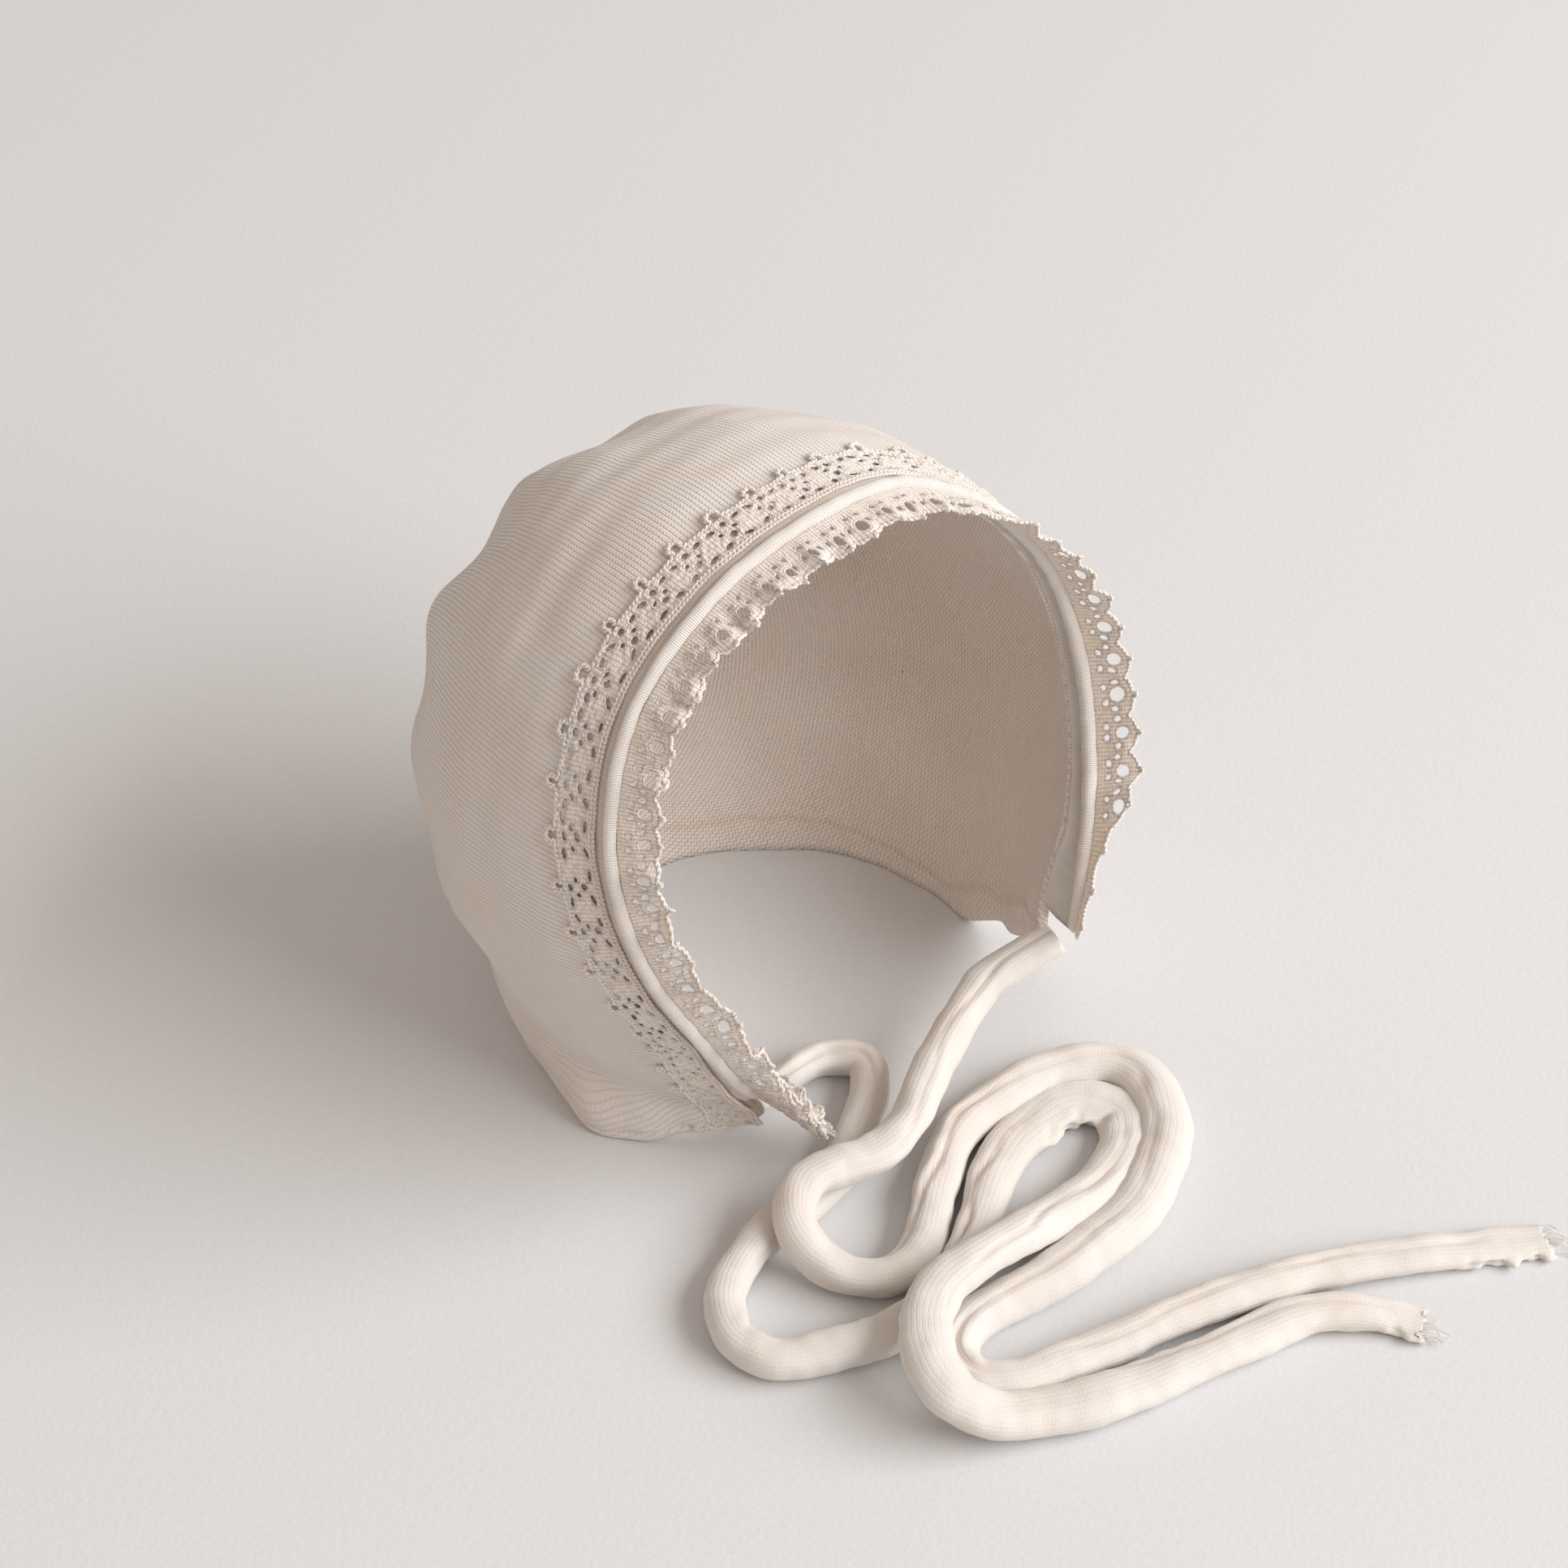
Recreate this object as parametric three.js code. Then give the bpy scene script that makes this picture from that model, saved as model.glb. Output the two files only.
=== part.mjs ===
// A newborn's bonnet: a gathered jersey cap with a piped, lace-edged face opening and two rolled jersey ties.
// Millimetres, +Z up. The bonnet rests on its neck hem on z = 0 and faces -Y. The origin is the middle of its
// footprint without the ties.
import * as THREE from "three";

// Driving sizes
const CAP_RADIUS = 62.5; // outside of the cap over the crown
const CAP_HEIGHT = 62; // centre of the cap's round above the surface
const CAP_FORWARD = 1.5; // that centre in front of the middle of the footprint
const OPENING_TILT = 15; // degrees that the face opening looks upwards
const WALL = 1.6; // jersey, with its seam allowances
const LACE_LIFT = 0.95; // the lace over the jersey, which curves between its facets
const PIPING_SEAM = 1.45; // the piping's edge to the jersey's edge
const PIPING_RADIUS = 1.65;
const LACE_THICKNESS = 0.9;
const LACE_REPEAT = 8.4; // one scallop along the edge
const TIE_RADIUS = 3.75; // a strip of jersey rolled up on itself
const SKIRT_TOP = 42; // height where the cap leaves its round and drops to the hem

// The gathered back. turn: degrees of each fold round the gathering point from the top, minus is towards the
// right cheek. height: how far it stands out.
const GATHER_FOLDS = [
  { turn: -165, height: 1.2 },
  { turn: -135, height: 1.4 },
  { turn: -105, height: 0.7 },
  { turn: -75, height: 0.5 },
  { turn: -45, height: 2.0 },
  { turn: -13, height: 2.2 },
  { turn: 15, height: 1.8 },
  { turn: 45, height: 1.2 },
  { turn: 75, height: 0.8 },
  { turn: 105, height: 1.2 },
  { turn: 135, height: 1.4 },
  { turn: 165, height: 1.3 },
];
const FOLD_SPREAD = 9; // degrees round the gathering point
const FOLD_PEAK = 52; // degrees from the gathering point to where the folds stand highest
const FOLD_REACH = 20;
const GATHER_DIMPLE = 3;
const DIMPLE_REACH = 9;

// The line of the piping round the face. angle: degrees round the opening from the top, minus is the right
// cheek. forward and radius place it in the frame of the opening. flare: degrees that the front frill leans
// out from the cap's round.
const RIM = [
  { angle: -158, forward: 17.9, radius: 65.0, flare: 18 },
  { angle: -151, forward: 21.8, radius: 61.5, flare: 14 },
  { angle: -137, forward: 28.0, radius: 57.5, flare: 8 },
  { angle: -122, forward: 32.2, radius: 55.1, flare: 4 },
  { angle: -100, forward: 31.3, radius: 55.6, flare: 4 },
  { angle: -84, forward: 29.6, radius: 56.5, flare: 5 },
  { angle: -70, forward: 28.5, radius: 57.0, flare: 6 },
  { angle: -50, forward: 28.5, radius: 57.0, flare: 8 },
  { angle: -25, forward: 31.0, radius: 55.8, flare: 10 },
  { angle: 0, forward: 32.2, radius: 55.1, flare: 8 },
  { angle: 20, forward: 31.0, radius: 55.8, flare: 8 },
  { angle: 35, forward: 31.8, radius: 55.3, flare: 16 },
  { angle: 50, forward: 31.8, radius: 55.3, flare: 26 },
  { angle: 70, forward: 30.0, radius: 56.3, flare: 36 },
  { angle: 90, forward: 30.5, radius: 56.0, flare: 50 },
  { angle: 108, forward: 34.5, radius: 53.8, flare: 52 },
  { angle: 127, forward: 40.5, radius: 51.5, flare: 36 },
  { angle: 146, forward: 38.0, radius: 63.0, flare: 8 },
];

// The hem on the surface. azimuth: degrees from +X towards +Y. radius: how far out the cap stands there.
// height: how far the hem is off the surface, 0 where it rests.
const HEM = [
  { azimuth: -54, radius: 63, height: 20 },
  { azimuth: -44, radius: 58, height: 13.5 },
  { azimuth: -30, radius: 52, height: 6.5 },
  { azimuth: -14, radius: 47.5, height: 0 },
  { azimuth: 15, radius: 46, height: 0 },
  { azimuth: 50, radius: 44, height: 0 },
  { azimuth: 90, radius: 43, height: 0 },
  { azimuth: 130, radius: 44, height: 0 },
  { azimuth: 165, radius: 46, height: 0 },
  { azimuth: 188, radius: 46.5, height: 0 },
  { azimuth: 200, radius: 45, height: 0.4 },
  { azimuth: 212, radius: 42, height: 3.2 },
  { azimuth: 223, radius: 38.5, height: 5.4 },
  { azimuth: 234, radius: 37, height: 7.5 },
];

// Hollows and swellings of the skirt. across and tall: how far each spreads. out: its height, minus is a dent.
const DENTS = [
  { part: "pouch", azimuth: 191, height: 3, across: 9, tall: 8, out: 3.6 },
  { part: "tuck above the pouch", azimuth: 187, height: 17, across: 14, tall: 6, out: -2.2 },
  { part: "drag line towards the chin", azimuth: 212, height: 13, across: 12, tall: 5, out: -1.6 },
  { part: "slack of the other cheek", azimuth: -24, height: 20, across: 14, tall: 12, out: 2.4 },
  { part: "side fold", azimuth: 12, height: 24, across: 10, tall: 14, out: -1.5 },
  { part: "back fold", azimuth: 62, height: 18, across: 9, tall: 14, out: -1.6 },
  { part: "back fold", azimuth: 118, height: 18, across: 9, tall: 14, out: -1.6 },
];

// Middle lines of the two ties as they lie on the surface, from the cheek to the free end: x, y and height.
const TIE_LEFT_ROUTE = [
  [-25.8, -30.3, 6.9], [-16, -26, 5.8], [-6, -26.2, 4.2], [-1.5, -32, 3.9], [-5.5, -38, 3.9], [-13.5, -43.6, 3.9],
  [-23, -48.8, 3.9], [-34, -51.4, 3.9], [-45, -52.2, 3.9], [-55.5, -55.5, 3.9], [-62.5, -60.8, 3.9],
  [-66, -68, 3.9], [-64, -75.3, 3.9], [-56, -80.3, 3.9], [-47, -84.2, 3.9], [-38, -85.3, 3.9], [-29.3, -83.6, 3.9],
  [-21, -79.9, 3.9], [-13, -75.2, 3.9], [-2, -68.6, 3.9], [10, -64.9, 3.9], [21, -66.6, 3.9], [25, -74, 3.9],
  [18.5, -80.8, 3.9], [8.5, -84.7, 4.2], [-2, -85.9, 5.8], [-13.5, -86.7, 9], [-25, -87.5, 11.7],
  [-35, -87.7, 11.9], [-43, -91.5, 11.9], [-48.5, -98, 11.7], [-50.5, -105.5, 9.5], [-46.5, -111.3, 6],
  [-38, -116, 4], [-28, -120.8, 3.9], [-14, -125, 3.9], [0, -128.2, 3.9], [14, -132.3, 3.9], [22.6, -139, 3.9],
  [27.6, -146.5, 3.9],
];
const TIE_RIGHT_ROUTE = [
  [32.65, -43.1, 23], [21.5, -41.8, 17.8], [11.5, -43.8, 14.8], [4, -46.7, 13.2], [-4, -50.5, 12.2],
  [-12.5, -54.8, 11.9], [-21, -56, 11.8], [-29, -53.6, 11.8], [-36.5, -52.8, 11.7], [-42.3, -57, 10.5], [-43.6, -63.5, 6],
  [-40.5, -70.5, 4], [-34.5, -75.2, 3.9], [-27, -74, 3.9], [-20, -69.2, 3.9], [-12.8, -64, 3.9], [-4.8, -59, 3.9],
  [5, -56, 3.9], [17, -55.6, 3.9], [28, -57.9, 3.9], [35.5, -63.5, 3.9], [37, -72, 3.9], [31.5, -82, 3.9],
  [22, -89, 3.9], [9.5, -93.6, 3.9], [-3.5, -94.8, 3.9], [-15.5, -94.6, 3.9], [-26, -92.8, 3.9], [-34.5, -93, 3.9],
  [-40.2, -96.8, 3.9], [-41.3, -102.6, 3.9], [-36.2, -107.4, 3.9], [-27.5, -110.2, 3.9], [-15, -113.6, 3.9],
  [-3, -116.8, 3.9], [10, -121, 3.9], [23.4, -126.1, 3.9], [36, -133, 3.9], [48, -140.5, 3.9], [60, -147.8, 3.9],
];

// How finely each piece is faceted
const BODY_COLUMNS = 84;
const BODY_ROWS = 14;
const PIPING_STEPS = 72;
const PIPING_SIDES = 6;
const LACE_COLUMNS_PER_REPEAT = 3;
const TIE_STEPS = 60;
const TIE_SIDES = 8;

// Colours and surfaces of the cloth
const jerseyCloth = new THREE.MeshStandardMaterial({ color: 0xe3dad0, roughness: 0.95, metalness: 0 });
const pipingCloth = new THREE.MeshStandardMaterial({ color: 0xeee3d8, roughness: 0.9, metalness: 0 });
const cottonLace = new THREE.MeshStandardMaterial({ color: 0xe9d9c6, roughness: 0.95, metalness: 0 });
const tieCloth = new THREE.MeshStandardMaterial({ color: 0xf1e6db, roughness: 0.92, metalness: 0 });

const radians = THREE.MathUtils.degToRad;
const degrees = THREE.MathUtils.radToDeg;
const CAP_CENTRE = new THREE.Vector3(0, 0, CAP_HEIGHT);
const OPENING = new THREE.Vector3(0, -Math.cos(radians(OPENING_TILT)), Math.sin(radians(OPENING_TILT)));
const OPENING_UP = new THREE.Vector3(0, Math.sin(radians(OPENING_TILT)), Math.cos(radians(OPENING_TILT)));
const OPENING_SIDE = new THREE.Vector3(1, 0, 0);
const GATHER_POINT = OPENING.clone().negate();
const CROWN = new THREE.Vector3(0, 1, 1).normalize(); // the middle of the cap, equally far from rim and hem

// A value between the rows of a table, eased from row to row.
function between(rows, key, name, at) {
  const last = rows.length - 1;
  if (at <= rows[0][key]) return rows[0][name];
  if (at >= rows[last][key]) return rows[last][name];
  const i = rows.findIndex((row) => row[key] > at) - 1;
  const part = (at - rows[i][key]) / (rows[i + 1][key] - rows[i][key]);
  const eased = (1 - Math.cos(Math.PI * part)) / 2;
  return rows[i][name] + (rows[i + 1][name] - rows[i][name]) * eased;
}

const bell = (distance, spread) => Math.exp(-((distance / spread) ** 2));

// Azimuth of a place as the HEM table counts it, from the middle of the face round the back.
function azimuthOf(x, y) {
  const azimuth = degrees(Math.atan2(y, x));
  return azimuth < -90 ? azimuth + 360 : azimuth;
}

// How far out the skirt stands at an azimuth and height, below where it leaves the cap's round.
function skirtRadius(azimuth, height) {
  const topRadius = Math.sqrt(CAP_RADIUS ** 2 - (CAP_HEIGHT - SKIRT_TOP) ** 2);
  const topSlope = (CAP_HEIGHT - SKIRT_TOP) / topRadius;
  const foot = between(HEM, "azimuth", "radius", azimuth);
  const down = THREE.MathUtils.clamp(1 - height / SKIRT_TOP, 0, 1);
  const tangent = topRadius - topSlope * SKIRT_TOP * down;
  const natural = topRadius - topSlope * SKIRT_TOP;
  let radius = tangent + (foot - natural) * down * down;
  for (const dent of DENTS) {
    const aside = radians(azimuth - dent.azimuth) * foot;
    radius += dent.out * bell(aside, dent.across) * bell(height - dent.height, dent.tall);
  }
  return radius;
}

// The relief of the gathered back along a direction from the cap's centre.
function gathers(direction) {
  const fromPoint = degrees(Math.acos(THREE.MathUtils.clamp(direction.dot(GATHER_POINT), -1, 1)));
  const turn = degrees(Math.atan2(direction.dot(OPENING_SIDE), direction.dot(OPENING_UP)));
  let relief = -GATHER_DIMPLE * bell(fromPoint, DIMPLE_REACH);
  for (const fold of GATHER_FOLDS) {
    const aside = THREE.MathUtils.euclideanModulo(turn - fold.turn + 180, 360) - 180;
    relief += fold.height * bell(aside, FOLD_SPREAD) * bell(fromPoint - FOLD_PEAK, FOLD_REACH);
  }
  return relief;
}

// Distance from the cap's centre to its outside along a direction.
function capRadius(direction) {
  const flat = Math.hypot(direction.x, direction.y);
  const azimuth = azimuthOf(direction.x, direction.y);
  const relief = gathers(direction);
  const roundHeight = CAP_HEIGHT + CAP_RADIUS * direction.z;
  if (roundHeight >= SKIRT_TOP) return CAP_RADIUS + relief;
  const halvings = 30;
  let near = CAP_RADIUS / 2;
  let far = CAP_RADIUS * 2;
  for (let step = 0; step < halvings; step++) {
    const middle = (near + far) / 2;
    const height = CAP_HEIGHT + middle * direction.z;
    if (middle * flat < skirtRadius(azimuth, Math.max(height, 0))) near = middle;
    else far = middle;
  }
  const height = Math.max(CAP_HEIGHT + near * direction.z, 0);
  const plainHem = 2;
  const fullRelief = 16;
  return near + relief * THREE.MathUtils.smoothstep(height, plainHem, fullRelief);
}

// A place on the cap, or a little outside it.
function onCap(direction, outside = 0) {
  return direction.clone().multiplyScalar(capRadius(direction) + outside).add(CAP_CENTRE);
}

// The piping's middle line as a smooth curve.
const rimCurve = new THREE.CatmullRomCurve3(
  RIM.map(({ angle, forward, radius }) =>
    CAP_CENTRE.clone()
      .addScaledVector(OPENING, forward)
      .addScaledVector(OPENING_UP, radius * Math.cos(radians(angle)))
      .addScaledVector(OPENING_SIDE, radius * Math.sin(radians(angle))),
  ),
);
const RIM_LENGTH = rimCurve.getLength();

// The frame at a share of the rim's length: along it, out from the cap, and back over the cap.
function rimFrame(share) {
  const place = rimCurve.getPointAt(share);
  const along = rimCurve.getTangentAt(share);
  const fromCentre = place.clone().sub(CAP_CENTRE);
  const out = fromCentre.clone().normalize();
  const back = new THREE.Vector3().crossVectors(out, along).normalize();
  out.crossVectors(along, back).normalize();
  const angle = degrees(Math.atan2(fromCentre.dot(OPENING_SIDE), fromCentre.dot(OPENING_UP)));
  return { place, along, out, back, angle };
}

// A closed solid from a sheet's two faces, given as grids of rows by columns. holes(row, column) leaves a
// pane out and walls its sides. ring: the columns close on themselves. tops: the two points, one for each
// face, that the first row closes up to.
function sheetSolid(faceRows, backRows, { ring = false, holes = () => false, tops = [] } = {}) {
  const rows = faceRows.length;
  const columns = faceRows[0].length;
  const spans = ring ? columns : columns - 1;
  const points = [...faceRows.flat(), ...backRows.flat(), ...tops];
  const face = (row, column) => row * columns + (column % columns);
  const back = (row, column) => rows * columns + face(row, column);
  const kept = (row, column) => {
    const inside = row >= 0 && row < rows - 1 && (ring || (column >= 0 && column < spans));
    return inside && !holes(row, (column + spans) % spans);
  };
  const triangles = [];
  const quad = (a, b, c, d) => triangles.push([a, b, c], [a, c, d]);
  for (let row = 0; row < rows - 1; row++)
    for (let column = 0; column < spans; column++) {
      if (!kept(row, column)) continue;
      const next = column + 1;
      const openAbove = !kept(row - 1, column) && !(row === 0 && tops.length);
      quad(face(row, column), face(row, next), face(row + 1, next), face(row + 1, column));
      quad(back(row, column), back(row + 1, column), back(row + 1, next), back(row, next));
      if (openAbove) quad(face(row, next), face(row, column), back(row, column), back(row, next));
      if (!kept(row + 1, column))
        quad(face(row + 1, column), face(row + 1, next), back(row + 1, next), back(row + 1, column));
      if (!kept(row, column - 1))
        quad(face(row, column), face(row + 1, column), back(row + 1, column), back(row, column));
      if (!kept(row, column + 1))
        quad(face(row + 1, next), face(row, next), back(row, next), back(row + 1, next));
    }
  if (tops.length) {
    const faceTop = 2 * rows * columns;
    const backTop = faceTop + 1;
    for (let column = 0; column < spans; column++) {
      triangles.push([faceTop, face(0, column + 1), face(0, column)]);
      triangles.push([backTop, back(0, column), back(0, column + 1)]);
    }
  }
  const geometry = new THREE.BufferGeometry();
  geometry.setAttribute("position", new THREE.Float32BufferAttribute(points.flatMap((p) => p.toArray()), 3));
  geometry.setIndex(triangles.flat());
  return geometry;
}

// The cap's edge: the rim from cheek to cheek, then the hem round the back, as outside places in order.
function capEdge() {
  const hemShare = 0.4;
  const hemColumns = Math.round(BODY_COLUMNS * hemShare);
  const rimColumns = BODY_COLUMNS - hemColumns;
  const edge = [];
  for (let i = 0; i < rimColumns; i++) {
    const { place, back } = rimFrame(i / (rimColumns - 1));
    const behind = place.addScaledVector(back, PIPING_RADIUS + PIPING_SEAM);
    edge.push({ place: onCap(behind.sub(CAP_CENTRE).normalize()), onHem: false });
  }
  const from = HEM[0].azimuth;
  const to = HEM[HEM.length - 1].azimuth;
  for (let i = 0; i < hemColumns; i++) {
    const azimuth = from + ((to - from) * (i + 0.5)) / hemColumns;
    const height = between(HEM, "azimuth", "height", azimuth);
    const radius = skirtRadius(azimuth, height);
    const x = radius * Math.cos(radians(azimuth));
    const y = radius * Math.sin(radians(azimuth));
    edge.push({ place: new THREE.Vector3(x, y, height), onHem: true });
  }
  return edge;
}

// The direction a share of the way round from one direction to another.
function turned(from, to, share) {
  const angle = from.angleTo(to);
  const a = Math.sin((1 - share) * angle) / Math.sin(angle);
  const b = Math.sin(share * angle) / Math.sin(angle);
  return from.clone().multiplyScalar(a).addScaledVector(to, b).normalize();
}

// The jersey cap with its neck hem, as an outer and an inner surface joined round the edge.
function jerseyBody() {
  const edge = capEdge();
  const outer = [];
  for (let row = 1; row <= BODY_ROWS; row++) {
    const share = row / BODY_ROWS;
    outer.push(
      edge.map(({ place }) => {
        if (row === BODY_ROWS) return place.clone();
        return onCap(turned(CROWN, place.clone().sub(CAP_CENTRE).normalize(), share));
      }),
    );
  }
  const crown = onCap(CROWN);
  const inner = outer.map((line, row) =>
    line.map((place, column) => {
      const left = line[(column + BODY_COLUMNS - 1) % BODY_COLUMNS];
      const right = line[(column + 1) % BODY_COLUMNS];
      const up = row === 0 ? crown : outer[row - 1][column];
      const down = row === BODY_ROWS - 1 ? place : outer[row + 1][column];
      const inward = new THREE.Vector3().crossVectors(down.clone().sub(up), right.clone().sub(left));
      if (inward.dot(place.clone().sub(CAP_CENTRE)) > 0) inward.negate();
      if (edge[column].onHem && row === BODY_ROWS - 1) inward.z = 0;
      return place.clone().addScaledVector(inward.normalize(), WALL);
    }),
  );
  return sheetSolid(inner, outer, { ring: true, tops: [onCap(CROWN, -WALL), crown] });
}

// A round rod or rolled strip along a curve.
function rod(curve, radius, steps, sides) {
  const section = new THREE.Shape(
    Array.from({ length: sides }, (_, i) => {
      const turn = (2 * Math.PI * i) / sides;
      return new THREE.Vector2(radius * Math.cos(turn), radius * Math.sin(turn));
    }),
  );
  return new THREE.ExtrudeGeometry(section, { steps, extrudePath: curve, bevelEnabled: false });
}

// The piping stops short of both cheek corners, where the frill closes over it.
const PIPING_FROM = 0.045;
const PIPING_TO = 0.985;

function rimPiping() {
  const places = Array.from({ length: PIPING_STEPS + 1 }, (_, i) =>
    rimCurve.getPointAt(PIPING_FROM + ((PIPING_TO - PIPING_FROM) * i) / PIPING_STEPS),
  );
  return rod(new THREE.CatmullRomCurve3(places), PIPING_RADIUS, PIPING_STEPS, PIPING_SIDES);
}

// The rows of each lace band across its width. from: distance from the piping's middle line. tip: how much
// further the point of a scallop reaches. pierced: whether the pane beyond the row is cut through.
const OUTER_LACE = {
  from: 0.03,
  to: 0.985,
  rows: [
    { across: 2.2, tip: 0, pierced: false },
    { across: 5.6, tip: 0, pierced: false },
    { across: 8.8, tip: 0, pierced: true },
    { across: 11.4, tip: 0.2, pierced: false },
    { across: 12.6, tip: 1.4, pierced: false },
  ],
};
const FRONT_LACE = {
  from: 0.03,
  to: 0.985,
  ruffle: 1.1,
  ruffleLength: 13,
  rows: [
    { across: 2.1, tip: 0, pierced: false },
    { across: 5.0, tip: 0, pierced: true },
    { across: 8.2, tip: 0.2, pierced: false },
    { across: 9.6, tip: 1.4, pierced: false },
  ],
};

// A lace band of scallops along the rim. placeAt(frame, across, distance along) gives each place's middle and
// the direction of the lace's thickness.
function laceBand({ from, to, rows }, placeAt) {
  const length = (to - from) * RIM_LENGTH;
  const repeats = Math.round(length / LACE_REPEAT);
  const columns = repeats * LACE_COLUMNS_PER_REPEAT;
  const face = rows.map(() => []);
  const back = rows.map(() => []);
  for (let column = 0; column <= columns; column++) {
    const share = from + ((to - from) * column) / columns;
    const frame = rimFrame(share);
    const isTip = column % LACE_COLUMNS_PER_REPEAT === 1;
    rows.forEach((row, i) => {
      const across = row.across + (isTip ? row.tip : 0);
      const { middle, thick } = placeAt(frame, across, (length * column) / columns);
      face[i].push(middle.clone().addScaledVector(thick, LACE_THICKNESS / 2));
      back[i].push(middle.clone().addScaledVector(thick, -LACE_THICKNESS / 2));
    });
  }
  const holes = (row, column) => rows[row].pierced && column % LACE_COLUMNS_PER_REPEAT === 1;
  return { face, back, holes };
}

// The lace that lies back over the jersey.
function outerLace() {
  const band = laceBand(OUTER_LACE, ({ place, back }, across) => {
    const direction = place.clone().addScaledVector(back, across).sub(CAP_CENTRE).normalize();
    return { middle: onCap(direction, LACE_LIFT + LACE_THICKNESS / 2), thick: direction };
  });
  return sheetSolid(band.face, band.back, { holes: band.holes });
}

// The frill that stands forward from under the piping.
function frontLace() {
  const band = laceBand(FRONT_LACE, ({ place, out, back, angle }, across, distance) => {
    const flare = radians(between(RIM, "angle", "flare", angle));
    const forward = back.clone().multiplyScalar(-Math.cos(flare)).addScaledVector(out, Math.sin(flare));
    const thick = out.clone().multiplyScalar(Math.cos(flare)).addScaledVector(back, Math.sin(flare));
    const loose = (across - FRONT_LACE.rows[0].across) / FRONT_LACE.rows.at(-1).across;
    const wave = FRONT_LACE.ruffle * loose * Math.sin((2 * Math.PI * distance) / FRONT_LACE.ruffleLength);
    return { middle: place.clone().addScaledVector(forward, across).addScaledVector(thick, wave), thick };
  });
  return sheetSolid(band.back, band.face, { holes: band.holes });
}

// A tie along its route.
function rolledTie(route) {
  const curve = new THREE.CatmullRomCurve3(route.map((place) => new THREE.Vector3(...place)));
  return rod(curve, TIE_RADIUS, TIE_STEPS, TIE_SIDES);
}

function piece(name, geometry, material) {
  const mesh = new THREE.Mesh(geometry, material);
  mesh.name = name;
  return mesh;
}

const bonnet = new THREE.Group();
bonnet.position.y = -CAP_FORWARD;
bonnet.add(piece("jersey_body", jerseyBody(), jerseyCloth));
bonnet.add(piece("rim_piping", rimPiping(), pipingCloth));
bonnet.add(piece("outer_lace", outerLace(), cottonLace));
bonnet.add(piece("front_lace", frontLace(), cottonLace));
bonnet.add(piece("tie_left", rolledTie(TIE_LEFT_ROUTE), tieCloth));
bonnet.add(piece("tie_right", rolledTie(TIE_RIGHT_ROUTE), tieCloth));

export default bonnet;
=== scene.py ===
import math

import bmesh
import bpy
import numpy as np
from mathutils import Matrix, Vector


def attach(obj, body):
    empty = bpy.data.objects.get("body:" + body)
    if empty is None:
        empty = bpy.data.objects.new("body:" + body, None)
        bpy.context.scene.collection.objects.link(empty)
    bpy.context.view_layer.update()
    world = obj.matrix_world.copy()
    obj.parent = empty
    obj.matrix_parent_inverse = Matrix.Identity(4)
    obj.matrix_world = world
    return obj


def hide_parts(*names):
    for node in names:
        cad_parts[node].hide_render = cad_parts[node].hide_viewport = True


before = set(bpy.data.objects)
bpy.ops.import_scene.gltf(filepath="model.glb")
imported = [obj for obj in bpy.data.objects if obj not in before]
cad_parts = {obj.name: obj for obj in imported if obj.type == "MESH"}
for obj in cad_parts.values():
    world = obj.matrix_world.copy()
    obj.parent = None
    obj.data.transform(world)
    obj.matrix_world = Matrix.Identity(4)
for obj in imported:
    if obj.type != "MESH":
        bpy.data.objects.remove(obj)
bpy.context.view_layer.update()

# Driving sizes, in millimetres, the same as the cap's own
MM = 0.001
CAP_RADIUS = 62.5
CAP_HEIGHT = 62.0
CAP_FORWARD = 1.5
OPENING_TILT = 15.0
WALL = 1.6
PIPING_RADIUS = 1.65
PIPING_SEAM = 1.45
TIE_RADIUS = 3.75
SKIRT_TOP = 42.0


def table(names, *rows):
    """Rows of values under the names of their columns."""
    return [dict(zip(names.split(), row)) for row in rows]


# The gathered back. turn: degrees of each fold round the gathering point from the top. height: how far it
# stands out.
GATHER_FOLDS = table(
    "turn height",
    (-165, 1.2),
    (-135, 1.4),
    (-105, 0.7),
    (-75, 0.5),
    (-45, 2.0),
    (-13, 2.2),
    (15, 1.8),
    (45, 1.2),
    (75, 0.8),
    (105, 1.2),
    (135, 1.4),
    (165, 1.3),
)
FOLD_SPREAD = 9
FOLD_PEAK = 52
FOLD_REACH = 20
GATHER_DIMPLE = 3
DIMPLE_REACH = 9

# The piping's line round the face. angle: degrees round the opening from the top, minus is the right cheek.
# forward and radius place it in the frame of the opening. flare: degrees that the frill leans out.
RIM = table(
    "angle forward radius flare",
    (-158, 17.9, 65.0, 18),
    (-151, 21.8, 61.5, 14),
    (-137, 28.0, 57.5, 8),
    (-122, 32.2, 55.1, 4),
    (-100, 31.3, 55.6, 4),
    (-84, 29.6, 56.5, 5),
    (-70, 28.5, 57.0, 6),
    (-50, 28.5, 57.0, 8),
    (-25, 31.0, 55.8, 10),
    (0, 32.2, 55.1, 8),
    (20, 31.0, 55.8, 8),
    (35, 31.8, 55.3, 16),
    (50, 31.8, 55.3, 26),
    (70, 30.0, 56.3, 36),
    (90, 30.5, 56.0, 50),
    (108, 34.5, 53.8, 52),
    (127, 40.5, 51.5, 36),
    (146, 38.0, 63.0, 8),
)

# The hem. azimuth: degrees from +X towards +Y. radius: how far out it stands. height: how far it is up.
HEM = table(
    "azimuth radius height",
    (-54, 63, 20),
    (-44, 58, 13.5),
    (-30, 52, 6.5),
    (-14, 47.5, 0),
    (15, 46, 0),
    (50, 44, 0),
    (90, 43, 0),
    (130, 44, 0),
    (165, 46, 0),
    (188, 46.5, 0),
    (200, 45, 0.4),
    (212, 42, 3.2),
    (223, 38.5, 5.4),
    (234, 37, 7.5),
)

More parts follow.
